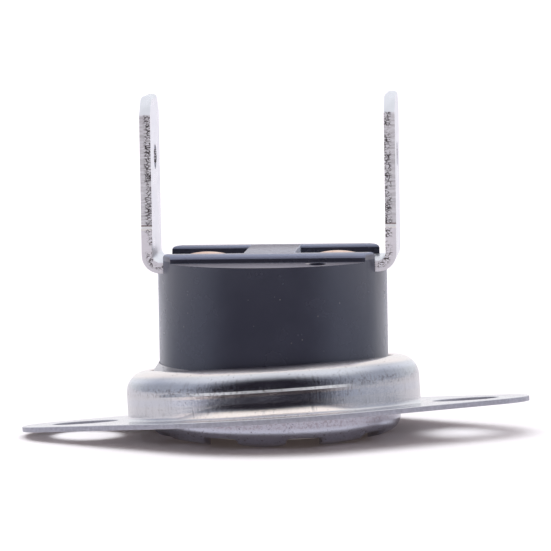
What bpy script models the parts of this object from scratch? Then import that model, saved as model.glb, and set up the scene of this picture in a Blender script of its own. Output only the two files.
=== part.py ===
"""Limit thermostat: a moulded switch housing with two blade terminals on its H-shaped top,
a snap disc held in a crimped cup with nine lugs, and a loose stamped mounting bracket.

Metres, +Z up. The part stands on the cup's lugs at z = 0. Its axis is the Z axis, the
terminals lie along X, and -Y is the front.
"""

import math

import bmesh
import bpy
from mathutils import Matrix, Vector

# Clearances
SEAT_GAP = 0.00003
FIT_GAP = 0.00005
PIN_GAP = 0.00008
HOLE_GAP = 0.00004
ARM_ROOT_GAP = 0.00014

# Switch housing
BODY_R = 0.00853
LEDGE_Z = 0.01325
RAIL_RISE = 0.00068
RAIL_W = 0.001225
RAIL_OUTER_ROUND = 0.00045
RAIL_INNER_ROUND = 0.00030
RAIL_FOOT_ROUND = 0.00010
TOP_EDGE_ROUND = 0.00030
CHANNEL_SIDE_GAP = 0.00008
BRIDGE_HALF_X = 0.0019
BRIDGE_EDGE = 0.00010
TOP_WALL = 0.00135
BODY_WALL = 0.00193
FLANGE_FOOT_W = 0.0002
CEILING_ROUND = 0.0004
GATE_MARK_X = 0.00375
GATE_MARK_INSET = 0.00095
GATE_MARK_R = 0.00062
GATE_MARK_DEPTH = 0.00025

# Blade terminals
TERMINAL_T = 0.0008
BLADE_GAP = 0.00009
BLADE_W = 0.00635
BLADE_RISE = 0.01227
BLADE_TIP_ROUND = 0.00032
BLADE_CHAMFER = 0.0014
CHAMFER_ROUND = 0.0003
BLADE_HOLE_R = 0.00092
BLADE_HOLE_DROP = 0.00460
ROOT_STEP = 0.00012
ROOT_RISE = 0.00265
BEND_INNER_R = 0.00055
STRIP_END_GAP = 0.00045

# Rivets
RIVET_INSET = 0.00368
RIVET_R = 0.00105
RIVET_HEAD_R = 0.0023
RIVET_DOME = 0.00053
RIVET_TAIL = 0.0005
TAIL_WALL_GAP = 0.00025

# Sensing cup
CUP_T = 0.0004
FLANGE_STEP = 0.00043
LUG_COUNT = 9
LUG_FIRST_DEG = -2.0
LUG_LENGTH = 0.00221
LUG_W = 0.0035
LUG_SLOPE_DEG = 14.0
CUP_CORNER_R = 0.0009
SCALLOP_Z = 0.00085
SCALLOP_ROUND = 0.00035
CRIMP_BASE_Z = 0.00335
CRIMP_RISE = 0.00095
LIP_OUTER_RISE = 0.0007
LIP_POINT = 0.0006
CRIMP_ROUND = 0.0005

# Snap disc, guide and transfer pin
DISC_INSET = 0.00063
DISC_T = 0.00025
DISC_DISH = 0.00035
GUIDE_RIM_W = 0.0006
GUIDE_OVERHANG = 0.0003
GUIDE_RISE = 0.00138
GUIDE_WEB = 0.0008
GUIDE_BOSS_R = 0.0022
GUIDE_ROUND = 0.0003
GUIDE_BOSS_RISE = 0.00372
PIN_R = 0.00085
PIN_END_ROUND = 0.0006

# Contacts
ARM_DROP = 0.00117
ARM_T = 0.00025
PIN_STRIP_GAP = 0.0003
CONTACT_R = 0.0008
CONTACT_H = 0.0003
CONTACT_SHANK_R = 0.0004
CONTACT_TAIL_R = 0.0006
CONTACT_TAIL = 0.00012
STRIP_T = 0.0003
STRIP_TIP_R = 0.00105

# Mounting bracket
PLATE_T = 0.0004
HAT_RISE = 0.00364
HOLE_CLEARANCE = 0.00019
HAT_WALL_GAP = 0.00114
HAT_SHOULDER_R = 0.0016
HAT_CREASE_DROP = 0.00003
HAT_CREASE_RISE = 0.00024
HAT_CREASE = 0.00009
HAT_FOOT_R = 0.0011
PLATE_RIM = 0.00185
EAR_OUT = 0.00149
EAR_R = 0.00474
EAR_HOLE_R = 0.0025
LEAN_GAP = 0.00027
BRACKET_FLOOR_GAP = 0.00018
LEAN_LEFT_DEG = 35.0

# Facets
FINE = 64
PLAIN = 40
COARSE = 20
ROUND_STEPS = 24
ARC_STEPS = 4
WELD = 0.0000002
SEAM_DEG = 1.3
OVERCUT = 0.002

# Worked out from the sizes above
RAIL_Z = LEDGE_Z + RAIL_RISE
CHANNEL_Z = LEDGE_Z - TERMINAL_T - SEAT_GAP
ROOT_HALF_W = BLADE_W / 2 + ROOT_STEP
CHANNEL_HALF_Y = ROOT_HALF_W + CHANNEL_SIDE_GAP
RAIL_OUTER_Y = CHANNEL_HALF_Y + RAIL_W
CEILING_Z = CHANNEL_Z - TOP_WALL
CAVITY_R = BODY_R - BODY_WALL
BLADE_INNER_X = BODY_R + BLADE_GAP
BLADE_OUTER_X = BLADE_INNER_X + TERMINAL_T
BLADE_TIP_Z = LEDGE_Z + BLADE_RISE
ROOT_TOP_Z = LEDGE_Z + ROOT_RISE
BEND_OUTER_R = BEND_INNER_R + TERMINAL_T
RIVET_X = BODY_R - RIVET_INSET
TAIL_R = CAVITY_R - RIVET_X - TAIL_WALL_GAP
ARM_Z = CEILING_Z - ARM_DROP
PIVOT_Z = ARM_Z + ARM_T / 2
CONTACT_X = PIN_R + PIN_STRIP_GAP + STRIP_TIP_R
NECK_R = BODY_R + FIT_GAP + CUP_T
CUP_R = NECK_R + FLANGE_STEP
LUG_END_R = CUP_R - LUG_LENGTH
LUG_SLOPE = math.tan(math.radians(LUG_SLOPE_DEG))
CRIMP_TOP_Z = CRIMP_BASE_Z + CRIMP_RISE
LIP_OUTER_Z = CRIMP_TOP_Z + LIP_OUTER_RISE
LIP_TOP_Z = LIP_OUTER_Z + LIP_POINT
DISC_R = BODY_R - DISC_INSET
HAT_HOLE_R = NECK_R + HOLE_CLEARANCE
HAT_R = CUP_R + HAT_WALL_GAP + PLATE_T
HAT_CREASE_Z = HAT_RISE - HAT_SHOULDER_R - HAT_CREASE_DROP
PLATE_R = HAT_R + PLATE_RIM
EAR_X = PLATE_R + EAR_OUT


def clear_scene():
    for obj in list(bpy.data.objects):
        bpy.data.objects.remove(obj, do_unlink=True)


def new_collection(name):
    collection = bpy.data.collections.new(name)
    bpy.context.scene.collection.children.link(collection)
    return collection


def new_material(name, colour, roughness, metallic):
    material = bpy.data.materials.new(name)
    material.use_nodes = True
    shader = material.node_tree.nodes["Principled BSDF"]
    shader.inputs["Base Color"].default_value = (*colour, 1.0)
    shader.inputs["Roughness"].default_value = roughness
    shader.inputs["Metallic"].default_value = metallic
    return material


def rounded(corners, closed=False):
    """The points of a path whose corners are (u, v) or (u, v, radius), round ones as arcs."""
    points = []
    count = len(corners)
    for i, corner in enumerate(corners):
        here = Vector(corner[:2])
        radius = corner[2] if len(corner) > 2 else 0.0
        if radius <= 0.0 or (not closed and i in (0, count - 1)):
            points.append(here)
            continue
        before = (Vector(corners[i - 1][:2]) - here).normalized()
        after = (Vector(corners[(i + 1) % count][:2]) - here).normalized()
        half = before.angle(after) / 2
        centre = here + (before + after).normalized() * radius / math.sin(half)
        start = here + before * radius / math.tan(half) - centre
        turn = math.copysign(math.pi - 2 * half, before.x * after.y - before.y * after.x)
        for step in range(ARC_STEPS + 1):
            angle = -turn * step / ARC_STEPS
            swung = Matrix.Rotation(angle, 2) @ start
            points.append(centre + swung)
    return points


def parallel(corners, distance):
    """The same open path moved to the left of its direction by a distance, with its radii to suit."""
    moved = []
    last = len(corners) - 1
    for i, corner in enumerate(corners):
        here = Vector(corner[:2])
        radius = corner[2] if len(corner) > 2 else 0.0
        ahead = Vector(corners[min(i + 1, last)][:2]) - Vector(corners[min(i, last - 1)][:2])
        behind = Vector(corners[max(i, 1)][:2]) - Vector(corners[max(i - 1, 0)][:2])
        ahead.normalize()
        behind.normalize()
        normal = Vector((-ahead.y - behind.y, ahead.x + behind.x)).normalized()
        reach = distance / max(normal.dot(Vector((-ahead.y, ahead.x))), 0.2)
        turn = behind.x * ahead.y - behind.y * ahead.x
        bend = radius - distance * math.copysign(1.0, turn) if radius > 0.0 else 0.0
        moved.append((*(here + normal * reach), max(bend, 0.0)))
    return moved


def arc(centre, radius, start_deg, end_deg, steps):
    points = []
    for step in range(steps + 1):
        angle = math.radians(start_deg + (end_deg - start_deg) * step / steps)
        points.append(Vector(centre) + radius * Vector((math.cos(angle), math.sin(angle))))
    return points


def realised(obj):
    """Replaces an object's modifiers, or its curve, with the mesh that they give."""
    bpy.context.view_layer.update()
    graph = bpy.context.evaluated_depsgraph_get()
    mesh = bpy.data.meshes.new_from_object(obj.evaluated_get(graph))
    work = bmesh.new()
    work.from_mesh(mesh)
    bmesh.ops.remove_doubles(work, verts=work.verts, dist=WELD)
    work.to_mesh(mesh)
    work.free()
    if obj.type == "MESH":
        obj.modifiers.clear()
        obj.data = mesh
        return obj
    solid = bpy.data.objects.new(obj.name, mesh)
    bpy.data.objects.remove(obj)
    bpy.context.scene.collection.objects.link(solid)
    return solid


def turned(name, profile, steps, closed=False):
    """A solid of revolution about Z, from a profile that runs down its outer side."""
    mesh = bpy.data.meshes.new(name)
    points = [(p[0], 0.0, p[1]) for p in profile]
    edges = [(i, i + 1) for i in range(len(points) - 1)]
    if closed:
        edges.append((len(points) - 1, 0))
    mesh.from_pydata(points, edges, [])
    obj = bpy.data.objects.new(name, mesh)
    bpy.context.scene.collection.objects.link(obj)
    screw = obj.modifiers.new("Turn", "SCREW")
    screw.steps = steps
    screw.render_steps = steps
    screw.use_merge_vertices = True
    screw.merge_threshold = WELD
    return realised(obj)


PLANES = {
    "XY": Matrix.Identity(4),
    "XZ": Matrix(((1, 0, 0, 0), (0, 0, -1, 0), (0, 1, 0, 0), (0, 0, 0, 1))),
    "YZ": Matrix(((0, 0, 1, 0), (1, 0, 0, 0), (0, 1, 0, 0), (0, 0, 0, 1))),
}


def prism(name, outlines, low, high, plane="XY", edge=0.0):
    """Flat outlines filled and given depth between two levels; later outlines are holes."""
    curve = bpy.data.curves.new(name, "CURVE")
    curve.dimensions = "2D"
    curve.fill_mode = "BOTH"
    curve.extrude = (high - low) / 2 - edge
    curve.bevel_depth = edge
    curve.bevel_resolution = 2
    curve.offset = -edge
    for outline in outlines:
        spline = curve.splines.new("POLY")
        spline.points.add(len(outline) - 1)
        for point, place in zip(spline.points, outline):
            point.co = (place[0], place[1], 0.0, 1.0)
        spline.use_cyclic_u = True
    obj = bpy.data.objects.new(name, curve)
    bpy.context.scene.collection.objects.link(obj)
    solid = realised(obj)
    solid.data.transform(PLANES[plane] @ Matrix.Translation((0, 0, (low + high) / 2)))
    return solid


def box(name, low, high):
    """A box between two corners."""
    mesh = bpy.data.meshes.new(name)
    work = bmesh.new()
    size = Vector(high) - Vector(low)
    middle = (Vector(high) + Vector(low)) / 2
    bmesh.ops.create_cube(work, size=1.0, matrix=Matrix.Translation(middle) @ Matrix.Diagonal((*size, 1.0)))
    work.to_mesh(mesh)
    work.free()
    obj = bpy.data.objects.new(name, mesh)
    bpy.context.scene.collection.objects.link(obj)
    return obj


def rod(name, radius, low, high, place=(0.0, 0.0), steps=ROUND_STEPS):
    """An upright cylinder between two levels."""
    mesh = bpy.data.meshes.new(name)
    work = bmesh.new()
    where = Matrix.Translation((*place, (low + high) / 2))
    bmesh.ops.create_cone(
        work, cap_ends=True, segments=steps, radius1=radius, radius2=radius, depth=high - low, matrix=where
    )
    work.to_mesh(mesh)
    work.free()
    obj = bpy.data.objects.new(name, mesh)
    bpy.context.scene.collection.objects.link(obj)
    return obj


def combine(obj, operation, *others):
    """Cuts, joins or intersects with other solids, which become hidden guides."""
    for other in others:
        boolean = obj.modifiers.new(other.name, "BOOLEAN")
        boolean.operation = operation
        boolean.solver = "EXACT"
        boolean.object = other
        other.hide_render = True
        other.display_type = "WIRE"
    realised(obj)
    for other in others:
        for collection in list(other.users_collection):
            collection.objects.unlink(other)
        GUIDES.objects.link(other)
    return obj


def finish(obj, name, material, parent, location=(0.0, 0.0, 0.0), sharp_deg=35.0):
    """Names a finished piece, moves its origin to its place under a parent and shades it."""
    obj.name = name
    obj.data.name = name
    obj.data.transform(Matrix.Translation(-Vector(location)))
    obj.data.shade_smooth()
    obj.data.set_sharp_from_angle(angle=math.radians(sharp_deg))
    obj.data.materials.clear()
    obj.data.materials.append(material)
    for collection in list(obj.users_collection):
        collection.objects.unlink(obj)
    PART.objects.link(obj)
    obj.parent = parent
    obj.location = location
    return obj


def new_empty(name, location=(0.0, 0.0, 0.0)):
    empty = bpy.data.objects.new(name, None)
    empty.empty_display_size = BODY_R / 2
    empty.location = location
    PART.objects.link(empty)
    return empty


def cup_outer_path():
    """The cup's outer line, from its lip down the wall and in along a lug."""
    corner_z = CUP_CORNER_R * math.cos(math.radians(LUG_SLOPE_DEG))
    turn_r = CUP_R - CUP_CORNER_R + CUP_CORNER_R * math.sin(math.radians(LUG_SLOPE_DEG))
    lug_end_r = LUG_END_R - CUP_T
    meet_z = (turn_r - LUG_END_R) * LUG_SLOPE + corner_z
    wall_end_z = meet_z - CUP_CORNER_R * math.tan(math.radians(45 - LUG_SLOPE_DEG / 2))
    return [
        (NECK_R, LIP_OUTER_Z),
        (NECK_R, CRIMP_TOP_Z, CRIMP_ROUND),
        (CUP_R, CRIMP_BASE_Z, CRIMP_ROUND + CUP_T),
        (CUP_R, wall_end_z, CUP_CORNER_R),
        (lug_end_r, wall_end_z - (CUP_R - lug_end_r) * LUG_SLOPE),
    ]


def lug_cutter():
    """Everything between and inside the lugs, with a rounded upper edge that leaves scallops."""
    outline = []
    half = LUG_W / 2
    tip_r = LUG_END_R + half
    outside = CUP_R + CUP_T
    pitch = 360.0 / LUG_COUNT
    for index in range(LUG_COUNT):
        turn = Matrix.Rotation(math.radians(LUG_FIRST_DEG - 90.0 + index * pitch), 2)
        tongue = [Vector((outside, -half))]
        tongue += arc((tip_r, 0.0), half, 270.0, 90.0, 2 * ARC_STEPS)
        tongue.append(Vector((outside, half)))
        outline += [turn @ p for p in tongue]
        middle = Matrix.Rotation(math.radians(pitch / 2), 2)
        outline.append(turn @ middle @ Vector((outside, 0.0)))
    return prism("lug_gaps", [outline], -CUP_R / 2, SCALLOP_Z, edge=SCALLOP_ROUND)


def make_cup(material, parent):
    outer = cup_outer_path()
    inner = parallel(outer, -CUP_T)
    inner[0] = (inner[0][0], LIP_TOP_Z)
    profile = rounded(outer) + rounded(inner)[::-1]
    cup = turned("cup", profile, LUG_COUNT * 8, closed=True)
    combine(cup, "DIFFERENCE", lug_cutter())
    return finish(cup, "sensing_cup", material, parent)


def disc_rim_z():
    """Height of the disc's middle at its rim, resting on the lugs' upper faces."""
    inner = parallel(cup_outer_path(), -CUP_T)
    bend, end = inner[-2], inner[-1]
    slope = (bend[1] - end[1]) / (bend[0] - end[0])
    return end[1] + (DISC_R - end[0]) * slope + SEAT_GAP + DISC_T / 2


def disc_profile(radius, middle_z, dish, thickness):
    """A shallow dish about Z, low at its centre."""
    steps = ARC_STEPS
    upper = []
    for step in range(steps + 1):
        r = radius * (1 - step / steps)
        z = middle_z - dish * (1 - (r / radius) ** 2)
        upper.append(Vector((r, z + thickness / 2)))
    lower = [Vector((p.x, p.y - thickness)) for p in upper]
    return upper[::-1] + lower


def make_disc(material, parent):
    rim = disc_rim_z()
    disc = turned("disc", disc_profile(DISC_R, rim, DISC_DISH, DISC_T), PLAIN)
    return finish(disc, "snap_disc", material, parent, (0.0, 0.0, rim))


def guide_levels():
    """Underside, web and top of the guide's rim."""
    low = disc_rim_z() + DISC_T / 2 + SEAT_GAP
    return low, low + GUIDE_RISE - GUIDE_WEB, low + GUIDE_RISE


def guide_radius():
    return DISC_R + GUIDE_OVERHANG


def make_guide(material, parent):
    low, web, top = guide_levels()
    radius = guide_radius()
    bore = PIN_R + PIN_GAP
    profile = [
        (bore, top + GUIDE_BOSS_RISE),
        (GUIDE_BOSS_R, top + GUIDE_BOSS_RISE, GUIDE_ROUND),
        (GUIDE_BOSS_R, top, GUIDE_ROUND),
        (radius, top),
        (radius, low),
        (radius - GUIDE_OVERHANG - GUIDE_RIM_W, low),
        (radius - GUIDE_OVERHANG - GUIDE_RIM_W, web, GUIDE_ROUND),
        (bore, web),
    ]
    guide = turned("guide", rounded(profile, closed=True), PLAIN, closed=True)
    return finish(guide, "pin_guide", material, parent)


def pin_levels():
    low = disc_rim_z() - DISC_DISH + DISC_T / 2 + SEAT_GAP
    return low, ARM_Z - SEAT_GAP


def make_pin(material, parent):
    low, high = pin_levels()
    profile = [(0.0, high), (PIN_R, high, PIN_END_ROUND), (PIN_R, low, PIN_END_ROUND), (0.0, low)]
    pin = turned("pin", rounded(profile), ROUND_STEPS)
    return finish(pin, "transfer_pin", material, parent)


def rail_outline():
    """The housing's section across its rails, in Y and Z: two ledges, two rails and the channel."""
    far, under = BODY_R + OVERCUT, -OVERCUT
    right = [
        (CHANNEL_HALF_Y, CHANNEL_Z),
        (CHANNEL_HALF_Y, RAIL_Z, RAIL_INNER_ROUND),
        (RAIL_OUTER_Y, RAIL_Z, RAIL_OUTER_ROUND),
        (RAIL_OUTER_Y, LEDGE_Z, RAIL_FOOT_ROUND),
        (far, LEDGE_Z),
        (far, under),
    ]
    left = [(-c[0], *c[1:]) for c in reversed(right)]
    return rounded(left + right, closed=True)


def housing_profile():
    """The moulding turned about Z, from its top down to the cup's floor and up its hollow."""
    crimp = parallel(cup_outer_path(), -CUP_T - FIT_GAP)
    guide_low, _, guide_top = guide_levels()
    seat_r = guide_radius() + FIT_GAP
    inner_corner_z = crimp[3][1] + CUP_CORNER_R - CUP_T
    return rounded([
        (0.0, RAIL_Z),
        (BODY_R, RAIL_Z, TOP_EDGE_ROUND),
        (BODY_R, crimp[1][1]),
        (crimp[2][0], crimp[2][1]),
        (crimp[2][0], inner_corner_z),
        (seat_r + FLANGE_FOOT_W, guide_low + SEAT_GAP),
        (seat_r, guide_low + SEAT_GAP),
        (seat_r, guide_top + SEAT_GAP),
        (CAVITY_R, guide_top + SEAT_GAP),
        (CAVITY_R, CEILING_Z, CEILING_ROUND),
        (0.0, CEILING_Z),
    ])


def arm_pad_z():
    """Underside of the pad above the contact arm's root."""
    return ARM_Z + ARM_T + ARM_ROOT_GAP


def strip_top_z():
    """Top of the fixed strip: the closed contacts stand between it and the arm."""
    return ARM_Z - 2 * CONTACT_H - SEAT_GAP


def make_housing(material, parent):
    housing = turned("housing", housing_profile(), FINE)
    reach = BODY_R + OVERCUT
    rails = prism("rail_section", [rail_outline()], -reach, reach, "YZ")
    combine(housing, "INTERSECT", rails)
    bridge = box(
        "bridge",
        (-BRIDGE_HALF_X, -CHANNEL_HALF_Y - RAIL_INNER_ROUND, CEILING_Z + TOP_WALL / 2),
        (BRIDGE_HALF_X, CHANNEL_HALF_Y + RAIL_INNER_ROUND, RAIL_Z),
    )
    bevel = bridge.modifiers.new("Edges", "BEVEL")
    bevel.width = BRIDGE_EDGE
    bevel.segments = 2
    pad_top = CEILING_Z + TOP_WALL / 2
    arm_pad = rod("arm_pad", TAIL_R, arm_pad_z(), pad_top, (-RIVET_X, 0.0))
    strip_pad = rod("strip_pad", TAIL_R, strip_top_z() + SEAT_GAP, pad_top, (RIVET_X, 0.0))
    combine(housing, "UNION", bridge, arm_pad, strip_pad)
    bores = [
        rod(f"rivet_bore_{side}", RIVET_R + HOLE_GAP, 0.0, RAIL_Z + OVERCUT, (x, 0.0))
        for side, x in (("left", -RIVET_X), ("right", RIVET_X))
    ]
    mark_y = -RAIL_OUTER_Y - GATE_MARK_INSET
    mark = rod(
        "gate_mark", GATE_MARK_R, LEDGE_Z - GATE_MARK_DEPTH, RAIL_Z, (GATE_MARK_X, mark_y), 20
    )
    combine(housing, "DIFFERENCE", *bores, mark)
    return finish(housing, "housing", material, parent)


def make_terminal(side, material, parent):
    """An L of strip: its base is riveted in the channel, its blade stands at the housing's side."""
    base_end = side * (BRIDGE_HALF_X + STRIP_END_GAP)
    inner_x, outer_x = side * BLADE_INNER_X, side * BLADE_OUTER_X
    low = LEDGE_Z - TERMINAL_T
    side_view = rounded([
        (base_end, low),
        (base_end, LEDGE_Z),
        (inner_x, LEDGE_Z, BEND_INNER_R),
        (inner_x, BLADE_TIP_Z, BLADE_TIP_ROUND),
        (outer_x, BLADE_TIP_Z, BLADE_TIP_ROUND),
        (outer_x, low, BEND_OUTER_R),
    ], closed=True)
    terminal = prism("side_view", [side_view], -BLADE_W, BLADE_W, "XZ")
    half = BLADE_W / 2
    right = [
        (ROOT_HALF_W, low - OVERCUT),
        (ROOT_HALF_W, ROOT_TOP_Z),
        (half, ROOT_TOP_Z),
        (half, BLADE_TIP_Z - BLADE_CHAMFER, CHAMFER_ROUND),
        (half - BLADE_CHAMFER, BLADE_TIP_Z, CHAMFER_ROUND),
    ]
    outline = rounded(right + [(-c[0], *c[1:]) for c in reversed(right)], closed=True)
    reach = BLADE_OUTER_X + OVERCUT
    face = prism("face_view", [outline], min(0.0, side * reach), max(0.0, side * reach), "YZ")
    combine(terminal, "INTERSECT", face)
    above, below = LEDGE_Z + OVERCUT, low - OVERCUT
    bore = rod("terminal_bore", RIVET_R + HOLE_GAP, below, above, (side * RIVET_X, 0.0))
    hole = rod("blade_hole", BLADE_HOLE_R, -OVERCUT, OVERCUT)
    hole.data.transform(Matrix.Rotation(math.radians(90.0), 4, "Y"))
    hole.data.transform(Matrix.Translation((inner_x, 0.0, BLADE_TIP_Z - BLADE_HOLE_DROP)))
    combine(terminal, "DIFFERENCE", bore, hole)
    name = "terminal_left" if side < 0 else "terminal_right"
    return finish(terminal, name, material, parent)


def make_rivet(side, tail_z, material, parent):
    """A domed head on the terminal, a shank through the housing and a tail under the contact."""
    base = LEDGE_Z + SEAT_GAP
    sphere_r = (RIVET_HEAD_R**2 + RIVET_DOME**2) / (2 * RIVET_DOME)
    edge_deg = math.degrees(math.asin(RIVET_HEAD_R / sphere_r))
    dome = arc((0.0, base + RIVET_DOME - sphere_r), sphere_r, 90.0, 90.0 - edge_deg, 6)
    lower = [
        (RIVET_R, base),
        (RIVET_R, tail_z),
        (TAIL_R, tail_z),
        (TAIL_R, tail_z - RIVET_TAIL, RIVET_TAIL / 2),
        (0.0, tail_z - RIVET_TAIL),
    ]
    rivet = turned("rivet", dome + rounded(lower), ROUND_STEPS)
    rivet.data.transform(Matrix.Translation((side * RIVET_X, 0.0, 0.0)))
    name = "rivet_left" if side < 0 else "rivet_right"
    return finish(rivet, name, material, parent, (side * RIVET_X, 0.0, base))


def strap_outline(root_x, root_r, tip_x, tip_r):
    """A strap with two round ends and straight flanks that touch both."""
    span = tip_x - root_x
    lean = math.degrees(math.asin((root_r - tip_r) / abs(span)))
    if span > 0:
        root = arc((root_x, 0.0), root_r, 90.0 - lean, 270.0 + lean, 3 * ARC_STEPS)
        tip = arc((tip_x, 0.0), tip_r, -90.0 + lean, 90.0 - lean, 3 * ARC_STEPS)
    else:
        root = arc((root_x, 0.0), root_r, -90.0 - lean, 90.0 + lean, 3 * ARC_STEPS)
        tip = arc((tip_x, 0.0), tip_r, 90.0 + lean, 270.0 - lean, 3 * ARC_STEPS)
    return root + tip


def ring_outline(x, radius):
    return arc((x, 0.0), radius, 0.0, 360.0, 24)[:-1]


def contact_button(name, seat_z, up, grip, material, parent, location):
    """A contact rivet: a face on its strip, a shank through it and a small tail behind."""
    turn = 1.0 if up else -1.0
    tail = grip + 2 * SEAT_GAP
    profile = [
        (0.0, CONTACT_H),
        (CONTACT_R, CONTACT_H, CONTACT_H / 3),
        (CONTACT_R, SEAT_GAP),
        (CONTACT_SHANK_R, SEAT_GAP),
        (CONTACT_SHANK_R, -tail),
        (CONTACT_TAIL_R, -tail),
        (CONTACT_TAIL_R, -tail - CONTACT_TAIL),
        (0.0, -tail - CONTACT_TAIL),
    ]
    button = turned(name, rounded(profile), COARSE)
    if turn < 0:
        button.data.transform(Matrix.Rotation(math.pi, 4, "X"))
    button.data.transform(Matrix.Translation((CONTACT_X, 0.0, seat_z)))
    return finish(button, name, material, parent, location)


def make_fixed_contact(strip_material, contact_material, parent):
    top = strip_top_z()
    outline = strap_outline(RIVET_X, TAIL_R, CONTACT_X, STRIP_TIP_R)
    holes = [ring_outline(RIVET_X, RIVET_R + HOLE_GAP), ring_outline(CONTACT_X, CONTACT_SHANK_R + HOLE_GAP)]
    strip = prism("strip", [outline, *holes], top - STRIP_T, top)
    finish(strip, "fixed_contact_strip", strip_material, parent)
    contact_button("fixed_contact", top, True, STRIP_T, contact_material, parent, (CONTACT_X, 0.0, top))


def make_contact_arm(arm_material, contact_material, parent):
    """The spring arm turns about its riveted root; its button rides on it."""
    pivot = new_empty("arm_pivot", (-RIVET_X, 0.0, PIVOT_Z))
    pivot.parent = parent
    outline = strap_outline(-RIVET_X, TAIL_R, CONTACT_X, STRIP_TIP_R)
    root_hole = RIVET_R + HOLE_GAP + ARM_ROOT_GAP / 2
    holes = [ring_outline(-RIVET_X, root_hole), ring_outline(CONTACT_X, CONTACT_SHANK_R + HOLE_GAP)]
    arm = prism("arm", [outline, *holes], ARM_Z, ARM_Z + ARM_T)
    here = Matrix.Translation((RIVET_X, 0.0, -PIVOT_Z))
    arm.data.transform(here)
    finish(arm, "contact_arm", arm_material, pivot)
    button = contact_button("moving_contact", ARM_Z, False, ARM_T, contact_material, pivot, (0.0, 0.0, 0.0))
    button.data.transform(here)


def plate_outline():
    """The bracket's plan: a round middle drawn out by straight flanks to two round ears."""
    lean = math.degrees(math.acos((PLATE_R - EAR_R) / EAR_X))
    points = arc((EAR_X, 0.0), EAR_R, -lean, lean, 4 * ARC_STEPS)
    points += arc((0.0, 0.0), PLATE_R, lean, 180.0 - lean, 6 * ARC_STEPS)
    points += arc((-EAR_X, 0.0), EAR_R, 180.0 - lean, 180.0 + lean, 4 * ARC_STEPS)
    points += arc((0.0, 0.0), PLATE_R, 180.0 + lean, 360.0 - lean, 6 * ARC_STEPS)
    return points


def bracket_section():
    """The pressed sheet's section, with the plate's middle at z = 0."""
    top = PLATE_T / 2 + HAT_RISE
    crease = PLATE_T / 2 + HAT_CREASE_Z
    beyond = EAR_X + EAR_R + OVERCUT
    upper = [
        (HAT_HOLE_R, top),
        (HAT_R - HAT_CREASE, top, HAT_SHOULDER_R),
        (HAT_R - HAT_CREASE, crease),
        (HAT_R, crease - HAT_CREASE_RISE),
        (HAT_R, PLATE_T / 2, HAT_FOOT_R),
        (beyond, PLATE_T / 2),
    ]
    plain = [upper[0], (HAT_R, *upper[1][1:]), upper[4], upper[5]]
    return rounded(upper) + rounded(parallel(plain, -PLATE_T))[::-1]


def lean_angle():
    """Tilt of the loose bracket: its low rim is close to the floor, its hole hangs on the cup's lip."""
    upright = HAT_RISE
    along = HAT_HOLE_R + PLATE_R
    rise = LIP_TOP_Z + LEAN_GAP - BRACKET_FLOOR_GAP
    return math.asin(rise / math.hypot(upright, along)) - math.atan2(upright, along)


def bracket_pose():
    """Where the bracket's middle lies and how it leans, low at the back and towards the left."""
    tilt = lean_angle()
    height = BRACKET_FLOOR_GAP + PLATE_T / 2 * math.cos(tilt) + PLATE_R * math.sin(tilt)
    towards = math.radians(90.0 + LEAN_LEFT_DEG)
    low_side = Vector((math.cos(towards), math.sin(towards), 0.0))
    hinge = Vector((0.0, 0.0, 1.0)).cross(low_side)
    return Vector((0.0, 0.0, height)), Matrix.Rotation(tilt, 4, hinge)


def make_bracket(material, parent):
    bracket = turned("bracket", bracket_section(), FINE, closed=True)
    bracket.data.transform(Matrix.Rotation(math.radians(SEAM_DEG), 4, "Z"))
    holes = [ring_outline(x, EAR_HOLE_R) for x in (-EAR_X, EAR_X)]
    plan = prism("plan", [plate_outline(), *holes], -HAT_RISE, 2 * HAT_RISE)
    combine(bracket, "INTERSECT", plan)
    height, turn = bracket_pose()
    finish(bracket, "mounting_bracket", material, parent)
    bracket.location = height
    bracket.rotation_euler = turn.to_euler()
    return bracket


def build():
    phenolic = new_material("black_phenolic", (0.035, 0.036, 0.045), 0.42, 0.0)
    guide_resin = new_material("brown_phenolic", (0.10, 0.055, 0.03), 0.5, 0.0)
    tinned = new_material("tinned_brass", (0.72, 0.71, 0.74), 0.25, 1.0)
    copper = new_material("copper", (0.85, 0.48, 0.32), 0.35, 1.0)
    silver = new_material("silver", (0.85, 0.84, 0.80), 0.25, 1.0)
    spring = new_material("spring_bronze", (0.70, 0.45, 0.25), 0.3, 1.0)
    steel = new_material("plated_steel", (0.60, 0.60, 0.61), 0.32, 1.0)
    aluminium = new_material("aluminium", (0.62, 0.63, 0.65), 0.4, 1.0)
    bimetal = new_material("bimetal", (0.52, 0.50, 0.47), 0.35, 1.0)
    ceramic = new_material("white_ceramic", (0.82, 0.80, 0.74), 0.5, 0.0)

    stand = new_empty("thermostat")
    make_housing(phenolic, stand)
    make_guide(guide_resin, stand)
    for side in (-1, 1):
        make_terminal(side, tinned, stand)
    make_rivet(-1, ARM_Z - ARM_ROOT_GAP, copper, stand)
    make_rivet(1, strip_top_z() - STRIP_T - SEAT_GAP, copper, stand)
    make_fixed_contact(tinned, silver, stand)
    make_contact_arm(spring, silver, stand)
    make_pin(ceramic, stand)
    make_disc(bimetal, stand)
    make_cup(aluminium, stand)
    make_bracket(steel, stand)


clear_scene()
PART = new_collection("limit_thermostat")
GUIDES = new_collection("guides")
build()
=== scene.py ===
"""Looks of the limit thermostat: the visible pieces as fine meshes, their finishes, a pale floor, soft light
and the photograph's camera. Metres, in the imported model's frame."""

import math

import bmesh
import bpy
from mathutils import Matrix, Vector


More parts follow.
